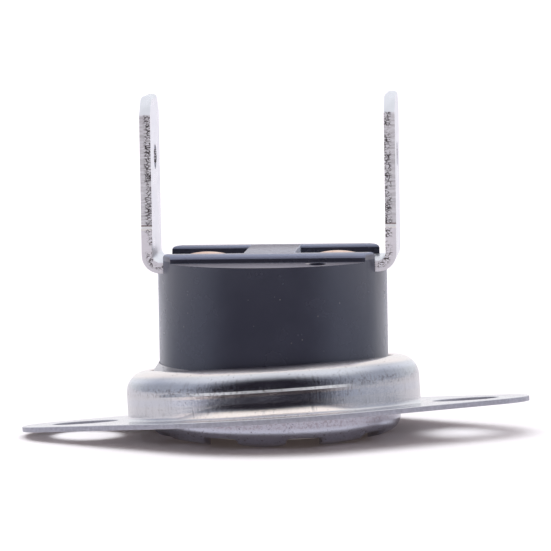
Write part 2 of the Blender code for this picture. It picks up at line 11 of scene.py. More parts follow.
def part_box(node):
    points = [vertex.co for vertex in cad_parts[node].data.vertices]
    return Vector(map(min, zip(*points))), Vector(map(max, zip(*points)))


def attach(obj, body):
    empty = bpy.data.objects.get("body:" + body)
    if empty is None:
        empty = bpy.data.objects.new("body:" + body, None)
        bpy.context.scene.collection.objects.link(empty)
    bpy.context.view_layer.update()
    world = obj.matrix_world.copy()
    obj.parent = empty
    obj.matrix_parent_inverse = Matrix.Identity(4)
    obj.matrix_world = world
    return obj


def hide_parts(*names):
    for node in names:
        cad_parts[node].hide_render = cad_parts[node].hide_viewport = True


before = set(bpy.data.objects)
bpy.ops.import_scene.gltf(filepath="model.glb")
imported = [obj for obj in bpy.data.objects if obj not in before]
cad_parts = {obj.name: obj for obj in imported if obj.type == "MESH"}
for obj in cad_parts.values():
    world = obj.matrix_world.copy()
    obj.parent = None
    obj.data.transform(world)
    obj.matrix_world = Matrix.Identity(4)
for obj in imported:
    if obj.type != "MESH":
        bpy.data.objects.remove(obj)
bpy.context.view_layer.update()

# Camera, fitted to the photograph
CAMERA_DISTANCE = 0.2971
CAMERA_HEIGHT = 0.03918
CAMERA_YAW_DEG = 4.464
CAMERA_ROLL_DEG = 0.976
CAMERA_AIM_Z = 0.0125
CAMERA_LENS_MM = 261.45
CAMERA_SHIFT = (0.00555, -0.01396)
CAMERA_SENSOR_MM = 36.0
CAMERA_CLIP_START = 0.01

# Clearances, as in the solids
SEAT_GAP = 0.00003
FIT_GAP = 0.00005
HOLE_GAP = 0.00004

# Switch housing
BODY_R = 0.00853
LEDGE_Z = 0.01325
RAIL_RISE = 0.00068
RAIL_W = 0.001225
RAIL_OUTER_ROUND = 0.00045
RAIL_INNER_ROUND = 0.00030
RAIL_FOOT_ROUND = 0.00010
TOP_EDGE_ROUND = 0.00030
CHANNEL_SIDE_GAP = 0.00008
BRIDGE_HALF_X = 0.0019
BRIDGE_EDGE = 0.00010
TOP_WALL = 0.00135
BODY_WALL = 0.00193
FLANGE_FOOT_W = 0.0002
CEILING_ROUND = 0.0004
GUIDE_RISE = 0.00138
GATE_MARK_X = 0.00375
GATE_MARK_R = 0.00062
GATE_MARK_DEPTH = 0.00025
GATE_MARK_STRETCH = 1.7

# Blade terminals
TERMINAL_T = 0.0008
BLADE_GAP = 0.00009
BLADE_W = 0.00635
BLADE_RISE = 0.01227
BLADE_TIP_ROUND = 0.00032
BLADE_CHAMFER = 0.0014
CHAMFER_ROUND = 0.0003
BLADE_HOLE_R = 0.00092
BLADE_HOLE_DROP = 0.00460
ROOT_STEP = 0.00012
ROOT_RISE = 0.00265
ROOT_SLOPE = 0.00013
BEND_INNER_R = 0.00055
STRIP_END_GAP = 0.00045
CUT_EDGE = 0.00004

# Rivets
RIVET_INSET = 0.00368
RIVET_R = 0.00105
RIVET_HEAD_R = 0.0023
RIVET_DOME = 0.00047
RIVET_TAIL = 0.0005
DOME_SHARE = 0.97

# Sensing cup
CUP_T = 0.0004
FLANGE_STEP = 0.00043
LUG_COUNT = 9
LUG_FIRST_DEG = -2.0
LUG_LENGTH = 0.00221
LUG_W = 0.0035
LUG_SLOPE_DEG = 14.0
CUP_CORNER_R = 0.0011
SCALLOP_Z = 0.00085
SCALLOP_ROUND = 0.00035
CRIMP_BASE_Z = 0.00335
CRIMP_RISE = 0.00095
LIP_OUTER_RISE = 0.0007
LIP_POINT = 0.0006
CRIMP_ROUND = 0.0005

# Mounting bracket
PLATE_T = 0.0004
HAT_RISE = 0.00364
HOLE_CLEARANCE = 0.00019
HAT_WALL_GAP = 0.00114
HAT_SHOULDER_R = 0.0016
HAT_CREASE_DROP = 0.00003
HAT_CREASE_RISE = 0.00022
HAT_CREASE = 0.00014
HAT_CREASE_ROUND = 0.00008
HAT_FOOT_R = 0.0011
HAT_FOOT_SIDE_R = 0.0003
FOOT_SPREAD = (0.80, 1.0)
CREASE_SPREAD = (0.66, 0.92)
CREASE_LEAST = 0.02
PLATE_RIM = 0.00185
EAR_OUT = 0.00149
EAR_R = 0.00474
EAR_HOLE_R = 0.0025
LEAN_GAP = 0.00027
BRACKET_FLOOR_GAP = 0.00018
LEAN_LEFT_DEG = 35.0
ROLLED_EDGE = 0.00009
BURR_EDGE = 0.00003

# Facets, and how far a cutting tool reaches past its work
AROUND = 288
CUP_STEPS_PER_LUG = 32
SMALL_AROUND = 96
EDGE_STEPS = 5
ARC_STEPS = 10
PAST = 0.001
MERGE = 2e-7
RING_MERGE = 1e-8
SHARP_DEG = 20.0
HOUSING_SHARP_DEG = 25.0

# Worked out from the sizes above
RAIL_Z = LEDGE_Z + RAIL_RISE
CHANNEL_Z = LEDGE_Z - TERMINAL_T - SEAT_GAP
ROOT_HALF_W = BLADE_W / 2 + ROOT_STEP
CHANNEL_HALF_Y = ROOT_HALF_W + CHANNEL_SIDE_GAP
RAIL_OUTER_Y = CHANNEL_HALF_Y + RAIL_W
CEILING_Z = CHANNEL_Z - TOP_WALL
CAVITY_R = BODY_R - BODY_WALL
BLADE_INNER_X = BODY_R + BLADE_GAP
BLADE_OUTER_X = BLADE_INNER_X + TERMINAL_T
BLADE_TIP_Z = LEDGE_Z + BLADE_RISE
ROOT_TOP_Z = LEDGE_Z + ROOT_RISE
BEND_OUTER_R = BEND_INNER_R + TERMINAL_T
RIVET_X = BODY_R - RIVET_INSET
NECK_R = BODY_R + FIT_GAP + CUP_T
CUP_R = NECK_R + FLANGE_STEP
LUG_END_R = CUP_R - LUG_LENGTH
LUG_SLOPE = math.tan(math.radians(LUG_SLOPE_DEG))
CRIMP_TOP_Z = CRIMP_BASE_Z + CRIMP_RISE
LIP_OUTER_Z = CRIMP_TOP_Z + LIP_OUTER_RISE
LIP_TOP_Z = LIP_OUTER_Z + LIP_POINT
HAT_HOLE_R = NECK_R + HOLE_CLEARANCE
HAT_R = CUP_R + HAT_WALL_GAP + PLATE_T
HAT_CREASE_Z = HAT_RISE - HAT_SHOULDER_R - HAT_CREASE_DROP
PLATE_R = HAT_R + PLATE_RIM
EAR_X = PLATE_R + EAR_OUT


def rounded(corners, closed=False, steps=ARC_STEPS):
    """The points of a path whose corners are (u, v) or (u, v, radius), round ones as arcs."""
    points = []
    count = len(corners)
    for i, corner in enumerate(corners):
        here = Vector(corner[:2])
        radius = corner[2] if len(corner) > 2 else 0.0
        if radius <= 0.0 or (not closed and i in (0, count - 1)):
            points.append(here)
            continue
        before = (Vector(corners[i - 1][:2]) - here).normalized()
        after = (Vector(corners[(i + 1) % count][:2]) - here).normalized()
        half = before.angle(after) / 2
        centre = here + (before + after).normalized() * radius / math.sin(half)
        start = here + before * radius / math.tan(half) - centre
        turn = math.copysign(math.pi - 2 * half, before.x * after.y - before.y * after.x)
        for step in range(steps + 1):
            points.append(centre + Matrix.Rotation(-turn * step / steps, 2) @ start)
    return points


def parallel(corners, distance):
    """The same open path moved to the left of its direction by a distance, with its radii to suit."""
    moved = []
    last = len(corners) - 1
    for i, corner in enumerate(corners):
        here = Vector(corner[:2])
        radius = corner[2] if len(corner) > 2 else 0.0
        ahead = Vector(corners[min(i + 1, last)][:2]) - Vector(corners[min(i, last - 1)][:2])
        behind = Vector(corners[max(i, 1)][:2]) - Vector(corners[max(i - 1, 0)][:2])
        ahead.normalize()
        behind.normalize()
        normal = Vector((-ahead.y - behind.y, ahead.x + behind.x)).normalized()
        reach = distance / max(normal.dot(Vector((-ahead.y, ahead.x))), 0.2)
        turn = behind.x * ahead.y - behind.y * ahead.x
        bend = radius - distance * math.copysign(1.0, turn) if radius > 0.0 else 0.0
        moved.append((*(here + normal * reach), max(bend, 0.0)))
    return moved


def arc(centre, radius, start_deg, end_deg, steps):
    points = []
    for step in range(steps + 1):
        angle = math.radians(start_deg + (end_deg - start_deg) * step / steps)
        points.append(Vector(centre) + radius * Vector((math.cos(angle), math.sin(angle))))
    return points


def new_object(name, mesh):
    obj = bpy.data.objects.new(name, mesh)
    bpy.context.scene.collection.objects.link(obj)
    return obj


def realised(obj):
    """Replaces an object's modifiers, or its curve, with the mesh that they give."""
    bpy.context.view_layer.update()
    graph = bpy.context.evaluated_depsgraph_get()
    mesh = bpy.data.meshes.new_from_object(obj.evaluated_get(graph))
    work = bmesh.new()
    work.from_mesh(mesh)
    bmesh.ops.remove_doubles(work, verts=work.verts, dist=MERGE)
    work.to_mesh(mesh)
    work.free()
    if obj.type == "MESH":
        obj.modifiers.clear()
        obj.data = mesh
        return obj
    name = obj.name
    bpy.data.objects.remove(obj)
    return new_object(name, mesh)


def grid_mesh(name, rings, closed_profile):
    """A closed surface from rings of points about Z; each ring is one level of the profile."""
    count = len(rings[0])
    verts = [p for ring in rings for p in ring]
    faces = []
    levels = len(rings)
    for level in range(levels if closed_profile else levels - 1):
        upper, lower = level * count, (level + 1) % levels * count
        for i in range(count):
            j = (i + 1) % count
            faces.append((upper + i, lower + i, lower + j, upper + j))
    mesh = bpy.data.meshes.new(name)
    mesh.from_pydata(verts, [], faces)
    work = bmesh.new()
    work.from_mesh(mesh)
    bmesh.ops.remove_doubles(work, verts=work.verts, dist=RING_MERGE)
    bmesh.ops.recalc_face_normals(work, faces=work.faces)
    work.to_mesh(mesh)
    work.free()
    return mesh


def turned(name, profile, steps=AROUND, closed=False):
    """A solid of revolution about Z."""
    turns = [2 * math.pi * i / steps for i in range(steps)]
    rings = [[(p[0] * math.cos(a), p[0] * math.sin(a), p[1]) for a in turns] for p in profile]
    return new_object(name, grid_mesh(name, rings, closed))


PLANES = {
    "XY": Matrix.Identity(4),
    "XZ": Matrix(((1, 0, 0, 0), (0, 0, -1, 0), (0, 1, 0, 0), (0, 0, 0, 1))),
    "YZ": Matrix(((0, 0, 1, 0), (1, 0, 0, 0), (0, 1, 0, 0), (0, 0, 0, 1))),
}


def prism(name, outlines, low, high, plane="XY", edge=0.0):
    """Flat outlines filled and given depth between two levels; later outlines are holes."""
    curve = bpy.data.curves.new(name, "CURVE")
    curve.dimensions = "2D"
    curve.fill_mode = "BOTH"
    curve.extrude = (high - low) / 2 - edge
    curve.bevel_depth = edge
    curve.bevel_resolution = 5
    curve.offset = -edge
    for outline in outlines:
        spline = curve.splines.new("POLY")
        spline.points.add(len(outline) - 1)
        for point, place in zip(spline.points, outline):
            point.co = (place[0], place[1], 0.0, 1.0)
        spline.use_cyclic_u = True
    solid = realised(new_object(name, curve))
    solid.data.transform(PLANES[plane] @ Matrix.Translation((0, 0, (low + high) / 2)))
    return solid


def rod(name, radius, low, high, place=(0.0, 0.0), steps=64):
    """An upright cylinder between two levels."""
    mesh = bpy.data.meshes.new(name)
    work = bmesh.new()
    where = Matrix.Translation((*place, (low + high) / 2))
    bmesh.ops.create_cone(
        work, cap_ends=True, segments=steps, radius1=radius, radius2=radius, depth=high - low, matrix=where
    )
    work.to_mesh(mesh)
    work.free()
    return new_object(name, mesh)


def box(name, low, high):
    """A box between two corners."""
    mesh = bpy.data.meshes.new(name)
    work = bmesh.new()
    size = Vector(high) - Vector(low)
    middle = (Vector(high) + Vector(low)) / 2
    bmesh.ops.create_cube(work, size=1.0, matrix=Matrix.Translation(middle) @ Matrix.Diagonal((*size, 1.0)))
    work.to_mesh(mesh)
    work.free()
    return new_object(name, mesh)


def combine(obj, operation, *others):
    """Cuts, joins or intersects with other solids, and removes them."""
    for other in others:
        boolean = obj.modifiers.new(other.name, "BOOLEAN")
        boolean.operation = operation
        boolean.solver = "EXACT"
        boolean.object = other
    realised(obj)
    for other in others:
        bpy.data.objects.remove(other)
    return obj


def bevelled(obj, width, segments=2, angle_deg=40.0):
    bevel = obj.modifiers.new("Edges", "BEVEL")
    bevel.width = width
    bevel.segments = segments
    bevel.limit_method = "ANGLE"
    bevel.angle_limit = math.radians(angle_deg)
    return realised(obj)


def place(piece, node, body, slot, material, sharp_deg=SHARP_DEG):
    """Shades a finished piece and lets it stand for a node of the frame."""
    piece.data.shade_smooth()
    piece.data.set_sharp_from_angle(angle=math.radians(sharp_deg))
    piece.data.materials.clear()
    piece.data.materials.append(material)
    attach(piece, body)
    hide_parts(node)
    return piece


# Shapes

def cup_outer_path():
    """The cup's outer line, from its lip down the wall and in along a lug."""
    slope = math.radians(LUG_SLOPE_DEG)
    turn_r = CUP_R - CUP_CORNER_R + CUP_CORNER_R * math.sin(slope)
    lug_end_r = LUG_END_R - CUP_T
    meet_z = (turn_r - LUG_END_R) * LUG_SLOPE + CUP_CORNER_R * math.cos(slope)
    wall_end_z = meet_z - CUP_CORNER_R * math.tan(math.radians(45 - LUG_SLOPE_DEG / 2))
    return [
        (NECK_R, LIP_OUTER_Z),
        (NECK_R, CRIMP_TOP_Z, CRIMP_ROUND),
        (CUP_R, CRIMP_BASE_Z, CRIMP_ROUND + CUP_T),
        (CUP_R, wall_end_z, CUP_CORNER_R),
        (lug_end_r, wall_end_z - (CUP_R - lug_end_r) * LUG_SLOPE),
    ]


def lug_cutter():
    """Everything between and inside the lugs, with a rounded upper edge that leaves scallops."""
    outline = []
    half = LUG_W / 2
    tip_r = LUG_END_R + half
    outside = CUP_R + CUP_T
    pitch = 360.0 / LUG_COUNT
    for index in range(LUG_COUNT):
        turn = Matrix.Rotation(math.radians(LUG_FIRST_DEG - 90.0 + index * pitch), 2)
        tongue = [Vector((outside, -half))]
        tongue += arc((tip_r, 0.0), half, 270.0, 90.0, 3 * ARC_STEPS)
        tongue.append(Vector((outside, half)))
        outline += [turn @ p for p in tongue]
        middle = Matrix.Rotation(math.radians(pitch / 2), 2)
        outline.append(turn @ middle @ Vector((outside, 0.0)))
    return prism("lug_gaps", [outline], -CUP_R / 2, SCALLOP_Z, edge=SCALLOP_ROUND)


def make_cup(material):
    outer = cup_outer_path()
    inner = parallel(outer, -CUP_T)
    inner[0] = (inner[0][0], LIP_TOP_Z)
    profile = rounded(outer) + rounded(inner)[::-1]
    cup = turned("crimped_cup", profile, LUG_COUNT * CUP_STEPS_PER_LUG, closed=True)
    combine(cup, "DIFFERENCE", lug_cutter())
    return place(cup, "sensing_cup", "switch_body", "cup_metal", material)


def rail_outline():
    """The housing's section across its rails, in Y and Z: two ledges, two rails and the channel."""
    far, under = BODY_R + PAST, -PAST
    right = [
        (CHANNEL_HALF_Y, CHANNEL_Z),
        (CHANNEL_HALF_Y, RAIL_Z, RAIL_INNER_ROUND),
        (RAIL_OUTER_Y, RAIL_Z, RAIL_OUTER_ROUND),
        (RAIL_OUTER_Y, LEDGE_Z, RAIL_FOOT_ROUND),
        (far, LEDGE_Z),
        (far, under),
    ]
    left = [(-c[0], *c[1:]) for c in reversed(right)]
    return rounded(left + right, closed=True)


def housing_profile():
    """The moulding turned about Z, from its top down to the cup's floor and up its hollow."""
    crimp = parallel(cup_outer_path(), -CUP_T - FIT_GAP)
    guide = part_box("pin_guide")
    seat_z = guide[0][2] + SEAT_GAP
    seat_r = guide[1][0] + FIT_GAP
    rim_top = seat_z + GUIDE_RISE
    web_z = crimp[3][1] + CUP_CORNER_R - CUP_T
    return rounded([
        (0.0, RAIL_Z),
        (BODY_R, RAIL_Z, TOP_EDGE_ROUND),
        (BODY_R, crimp[1][1]),
        (crimp[2][0], crimp[2][1]),
        (crimp[2][0], web_z),
        (seat_r + FLANGE_FOOT_W, seat_z),
        (seat_r, seat_z),
        (seat_r, rim_top),
        (CAVITY_R, rim_top),
        (CAVITY_R, CEILING_Z, CEILING_ROUND),
        (0.0, CEILING_Z),
    ])


def make_housing(material):
    housing = turned("moulded_housing", housing_profile())
    reach = BODY_R + 2 * PAST
    combine(housing, "INTERSECT", prism("rail_section", [rail_outline()], -reach, reach, "YZ"))
    bridge = bevelled(box(
        "bridge",
        (-BRIDGE_HALF_X, -CHANNEL_HALF_Y - RAIL_INNER_ROUND, CEILING_Z + TOP_WALL / 2),
        (BRIDGE_HALF_X, CHANNEL_HALF_Y + RAIL_INNER_ROUND, RAIL_Z),
    ), BRIDGE_EDGE, segments=3)
    combine(housing, "UNION", bridge)
    bores = [
        rod("rivet_bore", RIVET_R + HOLE_GAP, 0.0, RAIL_Z + PAST, (x, 0.0)) for x in (-RIVET_X, RIVET_X)
    ]
    mark = rod("gate_mark", GATE_MARK_R, LEDGE_Z - GATE_MARK_DEPTH, RAIL_Z, steps=40)
    mark.data.transform(Matrix.Diagonal((1.0, GATE_MARK_STRETCH, 1.0, 1.0)))
    mark_y = -RAIL_OUTER_Y - GATE_MARK_R * GATE_MARK_STRETCH - RAIL_FOOT_ROUND
    mark.data.transform(Matrix.Translation((GATE_MARK_X, mark_y, 0.0)))
    combine(housing, "DIFFERENCE", *bores, mark)
    return place(housing, "housing", "switch_body", "phenolic", material, HOUSING_SHARP_DEG)


def strip_side_view(side):
    """The bent strip in X and Z: its base in the channel, the bend and the blade with its rounded tip."""
    low = LEDGE_Z - TERMINAL_T
    base_end, inner_x, outer_x = (
        side * x for x in (BRIDGE_HALF_X + STRIP_END_GAP, BLADE_INNER_X, BLADE_OUTER_X)
    )
    return rounded([
        (base_end, low),
        (base_end, LEDGE_Z),
        (inner_x, LEDGE_Z, BEND_INNER_R),
        (inner_x, BLADE_TIP_Z, BLADE_TIP_ROUND),
        (outer_x, BLADE_TIP_Z, BLADE_TIP_ROUND),
        (outer_x, low, BEND_OUTER_R),
    ], closed=True)


def strip_face_view():
    """The strip in Y and Z: a wider root, the step at its top and the blade with its cut corners."""
    half = BLADE_W / 2
    right = [
        (ROOT_HALF_W, LEDGE_Z - TERMINAL_T - PAST),
        (ROOT_HALF_W, ROOT_TOP_Z - ROOT_SLOPE),
        (half, ROOT_TOP_Z),
        (half, BLADE_TIP_Z - BLADE_CHAMFER, CHAMFER_ROUND),
        (half - BLADE_CHAMFER, BLADE_TIP_Z, CHAMFER_ROUND),
    ]
    return rounded(right + [(-c[0], *c[1:]) for c in reversed(right)], closed=True, steps=6)


def make_terminal(side, material):
    """An L of strip: its base is riveted in the channel, its blade stands at the housing's side."""
    low = LEDGE_Z - TERMINAL_T
    name = "left_blade" if side < 0 else "right_blade"
    terminal = prism(name, [strip_side_view(side)], -BLADE_W, BLADE_W, "XZ")
    reach = BLADE_OUTER_X + 2 * PAST
    face = prism("face_view", [strip_face_view()], min(0.0, side * reach), max(0.0, side * reach), "YZ")
    combine(terminal, "INTERSECT", face)
    bore = rod("terminal_bore", RIVET_R + HOLE_GAP, low - PAST, LEDGE_Z + PAST, (side * RIVET_X, 0.0))
    hole = rod("blade_hole", BLADE_HOLE_R, -2 * PAST, 2 * PAST, steps=48)
    hole.data.transform(Matrix.Rotation(math.radians(90.0), 4, "Y"))
    hole_x = side * (BLADE_INNER_X + BLADE_OUTER_X) / 2
    hole.data.transform(Matrix.Translation((hole_x, 0.0, BLADE_TIP_Z - BLADE_HOLE_DROP)))
    combine(terminal, "DIFFERENCE", bore, hole)
    bevelled(terminal, CUT_EDGE)
    node = "terminal_left" if side < 0 else "terminal_right"
    return place(terminal, node, "switch_body", "terminal_metal", material)


def make_rivet(side, material):
    """A domed head on the terminal, a shank through the housing and a tail under the contact."""
    node = "rivet_left" if side < 0 else "rivet_right"
    base = LEDGE_Z + SEAT_GAP
    tail_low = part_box(node)[0][2]
    tail_r = (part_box("fixed_contact_strip")[1][1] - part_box("fixed_contact_strip")[0][1]) / 2
    sphere_r = (RIVET_HEAD_R**2 + RIVET_DOME**2) / (2 * RIVET_DOME)
    edge_deg = math.degrees(math.asin(RIVET_HEAD_R / sphere_r))
    dome = arc((0.0, base + RIVET_DOME - sphere_r), sphere_r, 90.0, 90.0 - edge_deg * DOME_SHARE, 24)
    lower = rounded([
        (RIVET_HEAD_R, base),
        (RIVET_R, base),
        (RIVET_R, tail_low + RIVET_TAIL),
        (tail_r, tail_low + RIVET_TAIL),
        (tail_r, tail_low, RIVET_TAIL / 2),
        (0.0, tail_low),
    ])
    rivet = turned("left_rivet" if side < 0 else "right_rivet", dome + lower, SMALL_AROUND)
    rivet.data.transform(Matrix.Translation((side * RIVET_X, 0.0, 0.0)))
    return place(rivet, node, "switch_body", "copper", material)


def plate_reach(angle):
    """Distance from the axis to the plate's edge: a round middle, straight flanks and round ears."""
    lean = math.acos((PLATE_R - EAR_R) / EAR_X)
    folded = math.atan2(abs(math.sin(angle)), abs(math.cos(angle)))
    touch = math.atan2(EAR_R * math.sin(lean), EAR_X + EAR_R * math.cos(lean))
    if folded >= lean:
        return PLATE_R
    if folded >= touch:
        return PLATE_R / math.cos(folded - lean)
    return EAR_X * math.cos(folded) + math.sqrt(EAR_R**2 - (EAR_X * math.sin(folded)) ** 2)


def smooth_share(value, low, high):
    share = min(max((value - low) / (high - low), 0.0), 1.0)
    return share * share * (3.0 - 2.0 * share)


def hat_lines(angle):
    """The pressed sheet's upper and lower lines in one direction, with the plate's middle at z = 0."""
    top = PLATE_T / 2 + HAT_RISE
    crease = PLATE_T / 2 + HAT_CREASE_Z
    across = abs(math.sin(angle))
    foot_r = HAT_FOOT_SIDE_R + (HAT_FOOT_R - HAT_FOOT_SIDE_R) * smooth_share(across, *FOOT_SPREAD)
    step = HAT_CREASE * (CREASE_LEAST + (1 - CREASE_LEAST) * smooth_share(across, *CREASE_SPREAD))
    foot = (HAT_R, PLATE_T / 2, foot_r)
    under = [(HAT_HOLE_R, top), (HAT_R, top, HAT_SHOULDER_R), foot, (PLATE_R, PLATE_T / 2)]
    upper = [
        (HAT_HOLE_R, top, ROLLED_EDGE),
        (HAT_R - step, top, HAT_SHOULDER_R),
        (HAT_R - step, crease, HAT_CREASE_ROUND),
        (HAT_R, crease - HAT_CREASE_RISE, HAT_CREASE_ROUND),
        foot,
        (PLATE_R, PLATE_T / 2),
    ]
    inside = parallel(under, -PLATE_T)
    inner_start = (*inside[0][:2], BURR_EDGE)
    edge = rounded([inside[1], inner_start, upper[0], upper[1]], steps=EDGE_STEPS)[1:-1]
    return edge + rounded(upper)[1:-1], rounded(inside)[1:-1]


def bracket_rings():
    """The pressed sheet as rings about its axis."""
    angles = [2 * math.pi * (i + 0.5) / (2 * AROUND) for i in range(2 * AROUND)]
    uppers, lowers = zip(*(hat_lines(a) for a in angles))
    rings = [[polar(r, a, z) for (r, z), a in zip(level, angles)] for level in zip(*uppers)]
    edge = rounded([
        (-2 * PLATE_T, PLATE_T / 2), (0.0, PLATE_T / 2, ROLLED_EDGE),
        (0.0, -PLATE_T / 2, BURR_EDGE), (-2 * PLATE_T, -PLATE_T / 2),
    ], steps=EDGE_STEPS)[1:-1]
    for share in (0.25, 0.5, 0.75):
        rings.append([on_plate(a, share, line[-1][0], PLATE_T / 2) for a, line in zip(angles, uppers)])
    for inset, z in edge:
        rings.append([polar(plate_reach(a) + inset, a, z) for a in angles])
    for share in (0.75, 0.5, 0.25):
        rings.append([on_plate(a, share, line[-1][0], -PLATE_T / 2) for a, line in zip(angles, lowers)])
    rings += [[polar(r, a, z) for (r, z), a in zip(level, angles)] for level in reversed(list(zip(*lowers)))]
    return rings


def polar(radius, angle, z):
    return (radius * math.cos(angle), radius * math.sin(angle), z)


def on_plate(angle, share, foot_r, z):
    """A point part of the way from the hat's foot to the plate's edge."""
    edge_r = plate_reach(angle) - 2 * ROLLED_EDGE
    return polar(foot_r + (edge_r - foot_r) * share, angle, z)


def ear_cutter(x):
    """A hole's tool: straight, with the rolled upper edge and the sharper lower one."""
    half = PLATE_T / 2
    line = rounded([
        (EAR_HOLE_R + PAST, half),
        (EAR_HOLE_R, half, ROLLED_EDGE),
        (EAR_HOLE_R, -half, BURR_EDGE),
        (EAR_HOLE_R + PAST, -half),
    ], steps=EDGE_STEPS)[1:-1]
    upper = [(0.0, half + PAST), (line[0][0], half + PAST)]
    lower = [(line[-1][0], -half - PAST), (0.0, -half - PAST)]
    cutter = turned("ear_hole", upper + line + lower, SMALL_AROUND)
    cutter.data.transform(Matrix.Translation((x, 0.0, 0.0)))
    return cutter


def lean_angle():
    """Tilt of the loose bracket: its low rim is close to the floor, its hole hangs on the cup's lip."""
    along = HAT_HOLE_R + PLATE_R
    rise = LIP_TOP_Z + LEAN_GAP - BRACKET_FLOOR_GAP
    return math.asin(rise / math.hypot(HAT_RISE, along)) - math.atan2(HAT_RISE, along)


def bracket_pose():
    """Where the bracket's middle lies and how it leans, low at the back and towards the left."""
    tilt = lean_angle()
    height = BRACKET_FLOOR_GAP + PLATE_T / 2 * math.cos(tilt) + PLATE_R * math.sin(tilt)
    towards = math.radians(90.0 + LEAN_LEFT_DEG)
    hinge = Vector((0.0, 0.0, 1.0)).cross(Vector((math.cos(towards), math.sin(towards), 0.0)))
    return Matrix.Translation((0.0, 0.0, height)) @ Matrix.Rotation(tilt, 4, hinge)


def make_bracket(material):
    bracket = new_object("pressed_bracket", grid_mesh("pressed_bracket", bracket_rings(), True))
    combine(bracket, "DIFFERENCE", ear_cutter(-EAR_X), ear_cutter(EAR_X))
    bracket.matrix_world = bracket_pose()
    return place(bracket, "mounting_bracket", "bracket", "bracket_steel", material)


# Finishes: a noise is its scale, detail and roughness; a range is its start, end and, for a band, softness

BUMP_DEPTH = 0.00004

# Housing
PHENOLIC_COLOUR = (0.049, 0.050, 0.074)
PHENOLIC_TONES = ((0.035, 0.038, 0.057, 1.0), (0.049, 0.052, 0.077, 1.0))
PHENOLIC_GLOSS = {
    "IOR": 1.65,
    "Specular Tint": (0.80, 0.88, 1.0, 1.0),
    "Sheen Weight": 1.0,
    "Sheen Roughness": 0.30,
    "Sheen Tint": (0.80, 0.87, 1.0, 1.0),
}
PHENOLIC_ROUGHNESS = (0.3, 0.7, 0.21, 0.30)
SKIN_NOISE = (2600.0, 6.0, 0.65)
CLOUD_NOISE = (260.0, 4.0, 0.6)
DUST_SPECKS = (1300.0, 0.09, 0.015)
DUST_SHARE = 0.3
FINE_SPECKS = (2600.0, 0.16, 0.05)
FINE_SHARE = 0.25
DUST_RELIEF = 0.6
DUST_COLOUR = (0.50, 0.46, 0.44, 1.0)
ABOVE_LEDGE = (LEDGE_Z + 0.0001, LEDGE_Z + 0.0002)
UP_TO_LEDGE = (LEDGE_Z - 0.0001, LEDGE_Z)
# Rounded edges above the ledge: rubbed wear with a painted bluish reflection
RUBBED_AND_REFLECTING_SLOPES = (0.30, 0.93, 0.15)
RUBBED_AND_REFLECTION_COLOUR = (0.23, 0.26, 0.36, 1.0)
# Rail end faces, turned along X, painted lighter: a painted reflection
RAIL_END_FACING = (0.6, 0.85)
RAIL_END_REFLECTION_SHARE = 0.8
RAIL_END_REFLECTION_COLOUR = (0.19, 0.19, 0.215, 1.0)
# Flat tops: a chalky dust film that is partly a painted grazing reflection, paler and bluer above the ledge
FLAT_FACING = (0.90, 0.99)
FILM_PATCHES = (0.38, 0.62, 0.65, 1.0)
LEDGE_FILM_AND_REFLECTION_COLOUR = (0.19, 0.185, 0.205, 1.0)
TOP_FILM_AND_REFLECTION_COLOUR = (0.28, 0.285, 0.34, 1.0)
CHIP_AT = (GATE_MARK_X - 0.00075, -RAIL_OUTER_Y - 0.0007, LEDGE_Z)
CHIP_SHAPE = (1 / 0.00018, 1 / 0.00036, 1 / 0.00018)
CHIP_EDGE = (1.0, 0.6)
CHIP_COLOUR = (0.98, 0.90, 0.82, 1.0)

# Blade terminals
TINNED_COLOUR = (0.83, 0.82, 0.86)
FACE_TONES = ((0.75, 0.77, 0.84, 1.0), (0.86, 0.88, 0.95, 1.0))
FACE_TONE_NOISE = (300.0, 4.0)
FACE_GLOSS_NOISE = (700.0, 4.0)
FACE_ROUGHNESS = (0.3, 0.7, 0.24, 0.38)
SHEARED_FACING = (0.74, 0.86)
SHEARED_ROUGHER = 0.2
SHEARED_METALLIC = 0.12
INNER_DEPTHS = (0.00060, 0.00036)
BENT_LEVELS = (ROOT_TOP_Z + 0.0001, ROOT_TOP_Z - 0.0002)
# The cut edge at the bend, below the root step, painted near white: a painted highlight
BEND_HIGHLIGHT_SHARE = 0.85
BEND_HIGHLIGHT_COLOUR = (0.93, 0.93, 1.0, 1.0)
TORN_NOISE = (1100.0, 3.0, 0.6)
TORN_LEVELS = (0.34, 0.44)
TORN_GAIN = 8.0
SHAKE_NOISE = {"Scale": 2600.0, "Detail": 3.0}
SHAKE_REACH = 0.00022
CELL_STRETCH = (0.75, 0.75, 1.3)
CELL_SCALE = 4400.0
BREAK_NOISE = (5200.0, 3.0, 0.7)
BREAK_LEVELS = (0.38, 0.50)
BELOW_STEP = (ROOT_TOP_Z - 0.0001, ROOT_TOP_Z - 0.0003)
ABOVE_STEP = (ROOT_TOP_Z, ROOT_TOP_Z + 0.0001)
CRACK_WIDTH = (0.20, 0.03)
CRACK_COLOUR = (0.045, 0.035, 0.04, 1.0)
LINE_STRETCH = (0.25, 0.25, 2.6)
LINE_NOISE = (3200.0, 3.0, 0.7)
LINE_CONTRAST = (0.32, 0.66)
LINE_RELIEF = 0.3
EDGE_TONES = ((0.62, 0.63, 0.67, 1.0), (0.90, 0.92, 0.98, 1.0))
# A dark brown line just above the root step: painted shadow under the step's burr
STEP_SHADOW_BAND = (ROOT_TOP_Z + 0.00006, ROOT_TOP_Z + 0.00012, 0.00003)
STEP_SHADOW_SHARE = 0.8
STEP_SHADOW_COLOUR = (0.16, 0.09, 0.07, 1.0)
# White band on the root step's rise: painted highlight
STEP_HIGHLIGHT_BAND = (ROOT_TOP_Z - ROOT_SLOPE - 0.0001, ROOT_TOP_Z, 0.00004)
STEP_HIGHLIGHT_COLOUR = (1.0, 1.0, 1.0, 1.0)
TINNED_BUMP = (0.5, 0.00005)

